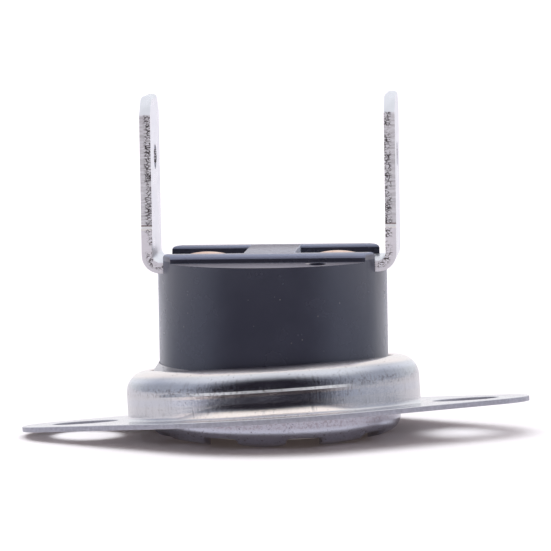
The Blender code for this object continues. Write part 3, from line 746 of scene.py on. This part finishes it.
# Rivets
COPPER_COLOUR = (0.90, 0.56, 0.42)
COPPER_TONES = ((0.95, 0.68, 0.55, 1.0), (0.72, 0.42, 0.30, 1.0))
STAIN_NOISE = (1500.0, 6.0, 0.7)
STAIN_LEVELS = (0.35, 0.80)
COPPER_ROUGHNESS = (0.3, 0.8, 0.22, 0.42)
COPPER_GRAIN_NOISE = (4000.0, 3.0)

# Sensing cup
CUP_COLOUR = (0.60, 0.61, 0.68)
CUP_TONES = ((0.46, 0.48, 0.57, 1.0), (0.60, 0.62, 0.72, 1.0))
CUP_NOISE = (900.0, 4.0, 0.6)
CUP_ROUGHNESS = (0.3, 0.7, 0.12, 0.22)
SPOT_NOISE = (4600.0, 4.0, 0.7)
SPOT_RELIEF = 0.35
NICKS = (0.57, 8.0)
NICK_ROUGHER = 0.15
NICK_COLOUR = (0.24, 0.22, 0.26, 1.0)
# The cup is darker in patches above its corner
UPPER_DARK_LEVELS = (0.0013, 0.0017)
UPPER_DARK_PATCHES = (0.38, 0.58, 1.0, 0.35)
UPPER_DARK_COLOUR = (0.32, 0.29, 0.33, 1.0)
# Lip tones: the dark one is torn rough aluminium and painted shade along the lip; the pale one is painted
# light at the lip's left end
LIP_LIT_END_X = (-0.0072, -0.0082)
LIP_SHADED_AND_LIT_TONES = ((0.28, 0.27, 0.29, 1.0), (0.80, 0.78, 0.80, 1.0))
RIM_ROUGHER = 0.3

# Bracket
PLATED_COLOUR = (0.70, 0.71, 0.74)
PLATED_TONES = ((0.65, 0.65, 0.69, 1.0), (0.75, 0.75, 0.79, 1.0))
PLATED_ROUGHNESS = (0.3, 0.75, 0.13, 0.24)
BLOOM_NOISE = (420.0, 5.0, 0.6)
GRAIN_NOISE = (5200.0, 3.0, 0.6)
FLANK_FACING = (0.65, 0.45)
OUTSIDE_HAT = (HAT_R + 0.0006, HAT_R + 0.0007)
FACING_Y = (0.0080, 0.0100)
WALL_BAND = (0.0007, 0.0028, 0.0004)
# Bluish bands on the shoulder and on the wall below the crease: painted reflection
UPPER_BLUE_REFLECTION_BAND = (0.0025, 0.0030, 0.0005)
LOWER_BLUE_REFLECTION_BAND = (0.0014, 0.0017, 0.0002)
BLUE_REFLECTION_SHARE = 0.25
BLUE_REFLECTION_COLOUR = (0.56, 0.66, 0.88, 1.0)
# Warm pale bands at the foot and crease on the front and back, and along the crest: painted highlights
FOOT_HIGHLIGHT_BAND = (0.00042, 0.00075, 0.00010)
CREASE_HIGHLIGHT_BAND = (HAT_CREASE_Z - 0.00022, HAT_CREASE_Z - 0.00004, 0.00005)
CREST_HIGHLIGHT_LEVELS = (HAT_RISE - 0.00035, HAT_RISE - 0.00010)
CREST_HIGHLIGHT_SHARE = 0.7
HIGHLIGHT_SHARE = 0.8
HIGHLIGHT_COLOUR = (1.0, 0.90, 0.86, 1.0)
STREAK_WINDING = (900.0, 52.0)
STREAK_NOISE = (1.0, 6.0, 0.7)
PALE_STREAKS = (0.55, 0.75)
PALE_STREAK_SHARE = 0.5
PALE_STREAK_COLOUR = (0.84, 0.83, 0.85, 1.0)
DARK_STREAKS = (0.48, 0.32)
DARK_STREAK_SHARE = 0.55
DARK_STREAK_COLOUR = (0.36, 0.34, 0.36, 1.0)
# The wall's sides, away from front and back, painted darker: painted shade
SIDE_SHADE_SHARE = 0.55
SIDE_SHADE_COLOUR = (0.40, 0.41, 0.43, 1.0)
SCUFF_NOISE = (4200.0, 5.0, 0.75)
SCUFFS = (0.50, 9.0)
SCUFF_BAND = (0.0021, 0.0025, 0.0002)
SCUFF_BLOOM = (0.38, 0.54)
SPECKS = (0.62, 8.0)
SPECK_SHARE = 0.8
SPECK_COLOUR = (0.22, 0.20, 0.21, 1.0)
SHEARED_NOISE = (3800.0, 4.0, 0.65)
SHEARED_TONES = ((0.24, 0.24, 0.29, 1.0), (0.58, 0.60, 0.69, 1.0))
PLATED_SHEARED_ROUGHER = 0.3
PLATED_SHEARED_METALLIC = 0.35
STREAK_RELIEF = 0.40
GRAIN_RELIEF = 0.16
SHEARED_RELIEF = 0.3


def add_node(tree, kind, inputs=None, **settings):
    """A shader node with its settings; an input is a value or another node's output."""
    made = tree.nodes.new(kind)
    for key, value in settings.items():
        setattr(made, key, value)
    for key, value in (inputs or {}).items():
        if isinstance(value, bpy.types.NodeSocket):
            tree.links.new(value, made.inputs[key])
        else:
            made.inputs[key].default_value = value
    return made


def math_node(tree, operation, a, b=0.0, clamp=False):
    return add_node(tree, "ShaderNodeMath", {0: a, 1: b}, operation=operation, use_clamp=clamp).outputs[0]


def vector_node(tree, operation, a, b):
    return add_node(tree, "ShaderNodeVectorMath", {0: a, 1: b}, operation=operation).outputs[0]


def absolute(tree, value):
    return math_node(tree, "ABSOLUTE", value)


def larger(tree, a, b):
    return math_node(tree, "MAXIMUM", a, b)


def product(tree, *factors):
    result = factors[0]
    for factor in factors[1:]:
        result = math_node(tree, "MULTIPLY", result, factor)
    return result


def total(tree, *terms):
    result = terms[0]
    for term in terms[1:]:
        result = math_node(tree, "ADD", result, term)
    return result


def inverse(tree, value):
    return math_node(tree, "SUBTRACT", 1.0, value)


def over(tree, value, level, gain):
    """How far a value is over a level, times a gain, between nought and one."""
    return math_node(tree, "MULTIPLY", math_node(tree, "SUBTRACT", value, level, True), gain, True)


def fade(tree, value, low, high):
    """Rises smoothly from nought to one between two values."""
    inputs = {"Value": value, "From Min": low, "From Max": high}
    return add_node(tree, "ShaderNodeMapRange", inputs, interpolation_type="SMOOTHSTEP").outputs[0]


def band(tree, value, low, high, soft):
    """One between two values and nought outside them, with soft ends."""
    rise = fade(tree, value, low - soft, low)
    return product(tree, rise, inverse(tree, fade(tree, value, high, high + soft)))


def mix_colour(tree, factor, a, b):
    return add_node(tree, "ShaderNodeMix", {0: factor, 6: a, 7: b}, data_type="RGBA").outputs[2]


def ranged(tree, value, low, high, to_low, to_high):
    """Maps a value from one range to another and holds it at the ends."""
    inputs = {"Value": value, "From Min": low, "From Max": high, "To Min": to_low, "To Max": to_high}
    return add_node(tree, "ShaderNodeMapRange", inputs).outputs[0]


def new_finish(name, colour, roughness, metallic):
    """A material, its tree and shader, and its object coordinates."""
    material = bpy.data.materials.new(name)
    material.use_nodes = True
    tree = material.node_tree
    shader = tree.nodes["Principled BSDF"]
    shader.inputs["Base Color"].default_value = (*colour, 1.0)
    shader.inputs["Roughness"].default_value = roughness
    shader.inputs["Metallic"].default_value = metallic
    return material, tree, shader, add_node(tree, "ShaderNodeTexCoord").outputs


def link_up(tree, shader, colour, roughness, metallic=None):
    """Links what varies over the surface to the shader."""
    tree.links.new(colour, shader.inputs["Base Color"])
    tree.links.new(roughness, shader.inputs["Roughness"])
    if metallic is not None:
        tree.links.new(metallic, shader.inputs["Metallic"])


def split(tree, vector):
    return add_node(tree, "ShaderNodeSeparateXYZ", {0: vector}).outputs


def stretched(tree, vector, scale):
    return add_node(tree, "ShaderNodeMapping", {"Vector": vector, "Scale": scale}).outputs[0]


def noise_of(tree, vector, scale, detail=2.0, roughness=0.5):
    inputs = {"Vector": vector, "Scale": scale, "Detail": detail, "Roughness": roughness}
    return add_node(tree, "ShaderNodeTexNoise", inputs).outputs["Fac"]


def specks_of(tree, vector, scale, size, share):
    """Round specks of a size, in cells of a scale, of which only a share hold one."""
    cells = add_node(tree, "ShaderNodeTexVoronoi", {"Vector": vector, "Scale": scale})
    near = over(tree, inverse(tree, cells.outputs["Distance"]), 1.0 - size, 2.5 / size)
    chosen = math_node(tree, "LESS_THAN", split(tree, cells.outputs["Color"])[0], share)
    return product(tree, near, chosen)


def radius_of(tree, vector):
    part = split(tree, vector)
    squares = total(tree, product(tree, part["X"], part["X"]), product(tree, part["Y"], part["Y"]))
    return math_node(tree, "SQRT", squares)


def wound(tree, vector, along, across):
    """Coordinates wound round Z at a fixed radius, so that a noise makes lines up a wall."""
    part = split(tree, vector)
    turn = math_node(tree, "ARCTAN2", part["Y"], part["X"])
    return add_node(tree, "ShaderNodeCombineXYZ", {
        "X": product(tree, math_node(tree, "COSINE", turn), across),
        "Y": product(tree, math_node(tree, "SINE", turn), across),
        "Z": product(tree, part["Z"], along),
    }).outputs[0]


def bump_of(tree, shader, height, strength, distance=BUMP_DEPTH):
    bump = add_node(tree, "ShaderNodeBump", {"Strength": strength, "Distance": distance, "Height": height})
    tree.links.new(bump.outputs["Normal"], shader.inputs["Normal"])


def gate_chip(tree, at):
    """A pale chip beside the gate mark."""
    offset = vector_node(tree, "MULTIPLY", vector_node(tree, "SUBTRACT", at, CHIP_AT), CHIP_SHAPE)
    distance = add_node(tree, "ShaderNodeVectorMath", {0: offset}, operation="LENGTH").outputs["Value"]
    return fade(tree, distance, *CHIP_EDGE)


def phenolic_wear_and_painted_reflection(tree, where, ground, skin):
    """Rubbed pale on its rounded edges, which also carry a painted bluish reflection; a painted reflection on
    its rail ends; a chalky dust film on its flat tops that is partly a painted grazing reflection.
    """
    level = split(tree, where["Object"])["Z"]
    facing = split(tree, where["Normal"])
    high = fade(tree, level, *ABOVE_LEDGE)
    # Rounded edges: wear and a painted reflection
    rubbed_and_reflecting = product(tree, band(tree, facing["Z"], *RUBBED_AND_REFLECTING_SLOPES), high)
    ground = mix_colour(tree, rubbed_and_reflecting, ground, RUBBED_AND_REFLECTION_COLOUR)
    # Rail ends painted lighter: painted reflection
    reflecting_ends = fade(tree, absolute(tree, facing["X"]), *RAIL_END_FACING)
    ground = mix_colour(tree, product(tree, reflecting_ends, high, RAIL_END_REFLECTION_SHARE), ground, RAIL_END_REFLECTION_COLOUR)
    # Flat tops: dust film and painted grazing reflection
    flat = product(tree, fade(tree, facing["Z"], *FLAT_FACING), fade(tree, level, *UP_TO_LEDGE))
    film_and_reflection = product(tree, flat, ranged(tree, skin, *FILM_PATCHES))
    return mix_colour(tree, film_and_reflection, ground, mix_colour(tree, high, LEDGE_FILM_AND_REFLECTION_COLOUR, TOP_FILM_AND_REFLECTION_COLOUR))


def phenolic_finish():
    """Black moulding compound: a fine uneven skin, worn and painted with a reflection on its edges, a painted
    reflection on its rail ends, a dust film on its flat tops that is partly a painted reflection, and a
    little dust.
    """
    material, tree, shader, where = new_finish("black_phenolic", PHENOLIC_COLOUR, 0.18, 0.0)
    for name, value in PHENOLIC_GLOSS.items():
        shader.inputs[name].default_value = value
    at = where["Object"]
    skin = noise_of(tree, at, *SKIN_NOISE)
    cloud = noise_of(tree, at, *CLOUD_NOISE)
    dust = product(tree, specks_of(tree, at, *DUST_SPECKS), DUST_SHARE)
    pale = larger(tree, dust, product(tree, specks_of(tree, at, *FINE_SPECKS), FINE_SHARE))
    ground = phenolic_wear_and_painted_reflection(tree, where, mix_colour(tree, cloud, *PHENOLIC_TONES), skin)
    ground = mix_colour(tree, pale, ground, DUST_COLOUR)
    ground = mix_colour(tree, gate_chip(tree, at), ground, CHIP_COLOUR)
    link_up(tree, shader, ground, ranged(tree, cloud, *PHENOLIC_ROUGHNESS))
    bump_of(tree, shader, total(tree, skin, product(tree, pale, DUST_RELIEF)), 0.05)
    return material


def depth_in_strip(tree, part):
    """How deep a point of the bent strip lies under its inner face."""
    centre_x, centre_z = BLADE_INNER_X - BEND_INNER_R, CHANNEL_Z + BEND_OUTER_R
    out = larger(tree, math_node(tree, "SUBTRACT", absolute(tree, part["X"]), centre_x), 0.0)
    down = math_node(tree, "MINIMUM", math_node(tree, "SUBTRACT", part["Z"], centre_z), 0.0)
    squares = total(tree, product(tree, out, out), product(tree, down, down))
    return math_node(tree, "SUBTRACT", math_node(tree, "SQRT", squares), BEND_INNER_R)


def torn_cracks(tree, at, part, bent):
    """Broken cracks in patches of the cut edge's inner side, clear of the root step."""
    often = ranged(tree, bent, 0.0, 1.0, *TORN_LEVELS)
    inner = fade(tree, depth_in_strip(tree, part), *INNER_DEPTHS)
    torn = product(tree, inner, over(tree, noise_of(tree, at, *TORN_NOISE), often, TORN_GAIN))
    shaken = add_node(tree, "ShaderNodeTexNoise", {"Vector": at, **SHAKE_NOISE}).outputs["Color"]
    reach = {0: shaken, "Scale": SHAKE_REACH}
    shaken = add_node(tree, "ShaderNodeVectorMath", reach, operation="SCALE").outputs[0]
    moved = stretched(tree, vector_node(tree, "ADD", at, shaken), CELL_STRETCH)
    cells = {"Vector": moved, "Scale": CELL_SCALE}
    edges = add_node(tree, "ShaderNodeTexVoronoi", cells, feature="DISTANCE_TO_EDGE").outputs["Distance"]
    broken = fade(tree, noise_of(tree, at, *BREAK_NOISE), *BREAK_LEVELS)
    clear = larger(tree, fade(tree, part["Z"], *BELOW_STEP), fade(tree, part["Z"], *ABOVE_STEP))
    return product(tree, fade(tree, edges, *CRACK_WIDTH), broken, torn, clear)


def sheared_strip(tree, at):
    """The cut edge's colour and relief: lines, cracks, a painted highlight on the bend, and at the root step
    a painted shadow above it and a painted highlight on its bright rise.
    """
    part = split(tree, at)
    bent = fade(tree, part["Z"], *BENT_LEVELS)
    lines = noise_of(tree, stretched(tree, at, LINE_STRETCH), *LINE_NOISE)
    crack = torn_cracks(tree, at, part, bent)
    edge = mix_colour(tree, fade(tree, lines, *LINE_CONTRAST), *EDGE_TONES)
    # Painted highlight on the bend's cut edge
    edge = mix_colour(tree, product(tree, bent, BEND_HIGHLIGHT_SHARE), edge, BEND_HIGHLIGHT_COLOUR)
    # Painted shadow just above the root step
    step_shadow = product(tree, band(tree, part["Z"], *STEP_SHADOW_BAND), STEP_SHADOW_SHARE)
    edge = mix_colour(tree, step_shadow, edge, STEP_SHADOW_COLOUR)
    # Painted highlight on the root step's rise
    edge = mix_colour(tree, band(tree, part["Z"], *STEP_HIGHLIGHT_BAND), edge, STEP_HIGHLIGHT_COLOUR)
    edge = mix_colour(tree, crack, edge, CRACK_COLOUR)
    return edge, math_node(tree, "SUBTRACT", product(tree, lines, LINE_RELIEF), crack)


def tinned_finish():
    """Tinned strip: bright rolled faces; the sheared edges are pale grey, and torn on their inner side."""
    material, tree, shader, where = new_finish("tinned_brass", TINNED_COLOUR, 0.2, 1.0)
    at = where["Object"]
    sheared = fade(tree, absolute(tree, split(tree, where["Normal"])["Y"]), *SHEARED_FACING)
    edge, relief = sheared_strip(tree, at)
    face = mix_colour(tree, noise_of(tree, at, *FACE_TONE_NOISE), *FACE_TONES)
    face_rough = ranged(tree, noise_of(tree, at, *FACE_GLOSS_NOISE), *FACE_ROUGHNESS)
    rough = total(tree, face_rough, product(tree, sheared, SHEARED_ROUGHER))
    metallic = ranged(tree, sheared, 0.0, 1.0, 1.0, SHEARED_METALLIC)
    link_up(tree, shader, mix_colour(tree, sheared, face, edge), rough, metallic)
    bump_of(tree, shader, product(tree, relief, sheared), *TINNED_BUMP)
    return material


def copper_finish():
    """Pressed copper, bright on the crown and browner in stains."""
    material, tree, shader, where = new_finish("copper", COPPER_COLOUR, 0.28, 1.0)
    at = where["Object"]
    stain = noise_of(tree, at, *STAIN_NOISE)
    colour = mix_colour(tree, fade(tree, stain, *STAIN_LEVELS), *COPPER_TONES)
    link_up(tree, shader, colour, ranged(tree, stain, *COPPER_ROUGHNESS))
    bump_of(tree, shader, noise_of(tree, at, *COPPER_GRAIN_NOISE), 0.15)
    return material


def cup_finish():
    """Drawn aluminium, smooth on its lower wall and darker in patches above the corner, dull and rough on its
    crimped lip, whose dark is partly painted shade, with painted light at the lip's left end, and with small
    rubbed marks.
    """
    material, tree, shader, where = new_finish("drawn_aluminium", CUP_COLOUR, 0.18, 1.0)
    at = where["Object"]
    part = split(tree, at)
    lip = fade(tree, part["Z"], CRIMP_TOP_Z, LIP_OUTER_Z)
    cloud = noise_of(tree, at, *CUP_NOISE)
    spots = noise_of(tree, at, *SPOT_NOISE)
    nicks = over(tree, spots, *NICKS)
    # Darker in patches above the corner
    upper_dark = product(tree, fade(tree, part["Z"], *UPPER_DARK_LEVELS), ranged(tree, spots, *UPPER_DARK_PATCHES))
    ground = mix_colour(tree, upper_dark, mix_colour(tree, cloud, *CUP_TONES), UPPER_DARK_COLOUR)
    # Lip: rough aluminium with painted shade, and painted light at its left end
    ground = mix_colour(tree, lip, ground, mix_colour(tree, fade(tree, part["X"], *LIP_LIT_END_X), *LIP_SHADED_AND_LIT_TONES))
    rough = total(tree, ranged(tree, cloud, *CUP_ROUGHNESS), product(tree, nicks, NICK_ROUGHER))
    rough = total(tree, rough, product(tree, lip, RIM_ROUGHER))
    link_up(tree, shader, mix_colour(tree, nicks, ground, NICK_COLOUR), rough)
    bump_of(tree, shader, total(tree, product(tree, spots, SPOT_RELIEF), cloud), 0.22)
    return material


def plating_and_painted_light(tree, level, facing, bloom):
    """Plating with painted bluish reflection bands, and painted highlights at the hat's foot and crease on
    its front and back and round its crest.
    """
    ground = mix_colour(tree, bloom, *PLATED_TONES)
    # Painted bluish reflection bands
    blue_reflection = larger(tree, band(tree, level, *UPPER_BLUE_REFLECTION_BAND), band(tree, level, *LOWER_BLUE_REFLECTION_BAND))
    ground = mix_colour(tree, product(tree, blue_reflection, BLUE_REFLECTION_SHARE), ground, BLUE_REFLECTION_COLOUR)
    # Painted highlights at the foot, crease and crest
    highlight = larger(tree, band(tree, level, *FOOT_HIGHLIGHT_BAND), band(tree, level, *CREASE_HIGHLIGHT_BAND))
    crest_highlight = product(tree, fade(tree, level, *CREST_HIGHLIGHT_LEVELS), CREST_HIGHLIGHT_SHARE)
    highlight = math_node(tree, "MAXIMUM", product(tree, highlight, facing, HIGHLIGHT_SHARE), crest_highlight, True)
    return mix_colour(tree, highlight, ground, HIGHLIGHT_COLOUR)


def drawn_wall(tree, ground, wall, facing, streaks):
    """Pale and dark short lines up the wall, which is painted darker at the sides as painted shade."""
    pale = product(tree, wall, fade(tree, streaks, *PALE_STREAKS), PALE_STREAK_SHARE)
    ground = mix_colour(tree, pale, ground, PALE_STREAK_COLOUR)
    dark = product(tree, wall, fade(tree, streaks, *DARK_STREAKS), DARK_STREAK_SHARE)
    ground = mix_colour(tree, dark, ground, DARK_STREAK_COLOUR)
    # Painted shade on the wall's sides
    return mix_colour(tree, product(tree, wall, inverse(tree, facing), SIDE_SHADE_SHARE), ground, SIDE_SHADE_COLOUR)


def speckled(tree, at, level, grain, bloom):
    """Dark specks everywhere and scuffs in a band at the shoulder."""
    scuffs = over(tree, noise_of(tree, at, *SCUFF_NOISE), *SCUFFS)
    scuffs = product(tree, scuffs, band(tree, level, *SCUFF_BAND), fade(tree, bloom, *SCUFF_BLOOM))
    return product(tree, larger(tree, over(tree, grain, *SPECKS), scuffs), SPECK_SHARE)


def bracket_finish():
    """Bright plated steel: painted reflection bands and highlights, painted shade at the wall's sides, scuffs
    at the shoulder, faint lines up the wall, sheared edges.
    """
    material, tree, shader, where = new_finish("plated_steel", PLATED_COLOUR, 0.2, 1.0)
    at = where["Object"]
    part = split(tree, at)
    flank = fade(tree, absolute(tree, split(tree, where["Normal"])["Z"]), *FLANK_FACING)
    sheared = product(tree, flank, fade(tree, radius_of(tree, at), *OUTSIDE_HAT))
    wall = band(tree, part["Z"], *WALL_BAND)
    facing = fade(tree, absolute(tree, part["Y"]), *FACING_Y)
    streaks = noise_of(tree, wound(tree, at, *STREAK_WINDING), *STREAK_NOISE)
    bloom = noise_of(tree, at, *BLOOM_NOISE)
    grain = noise_of(tree, at, *GRAIN_NOISE)
    coarse = noise_of(tree, at, *SHEARED_NOISE)
    ground = drawn_wall(tree, plating_and_painted_light(tree, part["Z"], facing, bloom), wall, facing, streaks)
    ground = mix_colour(tree, speckled(tree, at, part["Z"], grain, bloom), ground, SPECK_COLOUR)
    ground = mix_colour(tree, sheared, ground, mix_colour(tree, coarse, *SHEARED_TONES))
    rough = ranged(tree, bloom, *PLATED_ROUGHNESS)
    rough = total(tree, rough, product(tree, sheared, PLATED_SHEARED_ROUGHER))
    link_up(tree, shader, ground, rough, ranged(tree, sheared, 0.0, 1.0, 1.0, PLATED_SHEARED_METALLIC))
    height = total(tree, product(tree, streaks, wall, STREAK_RELIEF), product(tree, grain, GRAIN_RELIEF))
    bump_of(tree, shader, total(tree, height, product(tree, sheared, coarse, SHEARED_RELIEF)), 0.8)
    return material


def plain_finish(name, colour, roughness, metallic, grain):
    """A sealed inner piece: its colour with a fine grain in tone and gloss."""
    material, tree, shader, where = new_finish(name, colour, roughness, metallic)
    tone = noise_of(tree, where["Object"], grain, 4.0, 0.6)
    darker = tuple(0.75 * c for c in colour)
    spread = ranged(tree, tone, 0.3, 0.7, max(roughness - 0.08, 0.05), roughness + 0.1)
    link_up(tree, shader, mix_colour(tree, tone, (*darker, 1.0), (*colour, 1.0)), spread)
    bump_of(tree, shader, tone, 0.1, 0.00003)
    return material


def finish_inner_nodes(tinned):
    silver = plain_finish("silver", (0.86, 0.85, 0.82), 0.22, 1.0, 2500.0)
    inner = {
        "pin_guide": plain_finish("brown_phenolic", (0.10, 0.055, 0.03), 0.5, 0.0, 2000.0),
        "fixed_contact_strip": tinned,
        "fixed_contact": silver,
        "moving_contact": silver,
        "contact_arm": plain_finish("spring_bronze", (0.72, 0.47, 0.27), 0.28, 1.0, 1500.0),
        "transfer_pin": plain_finish("white_ceramic", (0.82, 0.80, 0.74), 0.45, 0.0, 3000.0),
        "snap_disc": plain_finish("bimetal", (0.54, 0.52, 0.49), 0.32, 1.0, 1200.0),
    }
    for node, material in inner.items():
        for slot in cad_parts[node].material_slots:
            slot.material = material


# Stage

FLOOR_SIDE = 3.0
FLOOR_FRONT_Y = -0.07
FLOOR_T = 0.002
FLOOR_COLOUR = (0.86, 0.86, 0.86, 1.0)
FLOOR_SEEN_COLOUR = (1.0, 1.0, 1.0, 1.0)
FLOOR_GLOW = 0.03
FLOOR_GLOW_TONE = (1.0, 0.78, 0.76, 1.0)

FILL_LEVEL = 0.30
FILL_TONE = (1.0, 0.77, 0.74, 1.0)
SIDE_TONE = (0.56, 0.58, 0.65, 1.0)
BACK_TONE = (0.97, 0.98, 1.0, 1.0)
TOP_TONE = (1.0, 1.0, 1.0, 1.0)
DARK_TONE = (0.022, 0.020, 0.028, 1.0)
WHITE = (1.0, 1.0, 1.0, 1.0)
DARK_LIFT = 0.15
DARK_SPREAD = (0.25, 0.85)
BACK_SPREAD = (0.35, 0.92)
TOP_SPREAD = (0.45, 0.90)

SUN_STRENGTH = 2.8
SUN_SPREAD_DEG = 92.0
SUN_TONE = (0.95, 0.98, 1.04)


def make_floor():
    """A pale sheet that ends in front of the object; its glow is for camera, glossy and clear rays."""
    low = (-FLOOR_SIDE / 2, FLOOR_FRONT_Y, -FLOOR_T)
    floor = box("floor", low, (FLOOR_SIDE / 2, FLOOR_SIDE, 0.0))
    material = bpy.data.materials.new("pale_floor")
    material.use_nodes = True
    tree = material.node_tree
    tree.nodes.clear()
    camera_ray = add_node(tree, "ShaderNodeLightPath").outputs["Is Camera Ray"]
    colour = mix_colour(tree, camera_ray, FLOOR_COLOUR, FLOOR_SEEN_COLOUR)
    paper = add_node(tree, "ShaderNodeBsdfDiffuse", {"Color": colour})
    strength = math_node(tree, "MULTIPLY", seen_rays(tree), FLOOR_GLOW)
    glow = add_node(tree, "ShaderNodeEmission", {"Color": FLOOR_GLOW_TONE, "Strength": strength})
    both = add_node(tree, "ShaderNodeAddShader", {0: paper.outputs[0], 1: glow.outputs[0]})
    out = add_node(tree, "ShaderNodeOutputMaterial")
    tree.links.new(both.outputs[0], out.inputs["Surface"])
    floor.data.materials.append(material)


def seen_rays(tree):
    """One for camera, glossy and transmission rays, nought for those that light a surface."""
    rays = add_node(tree, "ShaderNodeLightPath").outputs
    mirrored = math_node(tree, "ADD", rays["Is Glossy Ray"], rays["Is Transmission Ray"], True)
    return math_node(tree, "ADD", rays["Is Camera Ray"], mirrored, True)


def make_world():
    """White to the camera; in reflections a bright top and back, greyer sides and a dark front."""
    world = bpy.data.worlds.new("studio")
    bpy.context.scene.world = world
    world.use_nodes = True
    tree = world.node_tree
    background = tree.nodes["Background"]
    rays = add_node(tree, "ShaderNodeLightPath").outputs
    way = add_node(tree, "ShaderNodeTexCoord").outputs["Generated"]
    part = split(tree, way)
    ahead = math_node(tree, "SUBTRACT", product(tree, part["Z"], DARK_LIFT), part["Y"])
    room = mix_colour(tree, fade(tree, part["Y"], *BACK_SPREAD), SIDE_TONE, BACK_TONE)
    room = mix_colour(tree, fade(tree, part["Z"], *TOP_SPREAD), room, TOP_TONE)
    room = mix_colour(tree, fade(tree, ahead, *DARK_SPREAD), room, DARK_TONE)
    room = mix_colour(tree, rays["Is Camera Ray"], room, WHITE)
    seen = seen_rays(tree)
    tree.links.new(mix_colour(tree, seen, FILL_TONE, room), background.inputs["Color"])
    lit = product(tree, inverse(tree, seen), FILL_LEVEL)
    tree.links.new(total(tree, seen, lit), background.inputs["Strength"])


def make_sun():
    """A broad soft light from straight above, left out of reflections, which see the world."""
    data = bpy.data.lights.new("top_light", "SUN")
    data.energy = SUN_STRENGTH
    data.angle = math.radians(SUN_SPREAD_DEG)
    data.color = SUN_TONE
    new_object("top_light", data).visible_glossy = False


def make_camera():
    yaw, roll = math.radians(CAMERA_YAW_DEG), math.radians(CAMERA_ROLL_DEG)
    pitch = math.atan2(CAMERA_HEIGHT - CAMERA_AIM_Z, CAMERA_DISTANCE)
    data = bpy.data.cameras.new("photo_camera")
    data.sensor_width = CAMERA_SENSOR_MM
    data.lens = CAMERA_LENS_MM
    data.shift_x, data.shift_y = CAMERA_SHIFT
    data.clip_start = CAMERA_CLIP_START
    camera = new_object("photo_camera", data)
    away = Vector((math.sin(yaw), -math.cos(yaw), 0.0))
    turn = Matrix.Rotation(yaw, 4, "Z") @ Matrix.Rotation(math.pi / 2 - pitch, 4, "X")
    turn = turn @ Matrix.Rotation(-roll, 4, "Z")
    camera.matrix_world = Matrix.Translation(away * CAMERA_DISTANCE + Vector((0, 0, CAMERA_HEIGHT))) @ turn
    bpy.context.scene.camera = camera


def main():
    tinned = tinned_finish()
    make_housing(phenolic_finish())
    for side in (-1, 1):
        make_terminal(side, tinned)
    copper = copper_finish()
    for side in (-1, 1):
        make_rivet(side, copper)
    make_cup(cup_finish())
    make_bracket(bracket_finish())
    finish_inner_nodes(tinned)
    make_floor()
    make_world()
    make_sun()
    make_camera()
    bpy.context.scene.view_settings.view_transform = "Standard"


main()
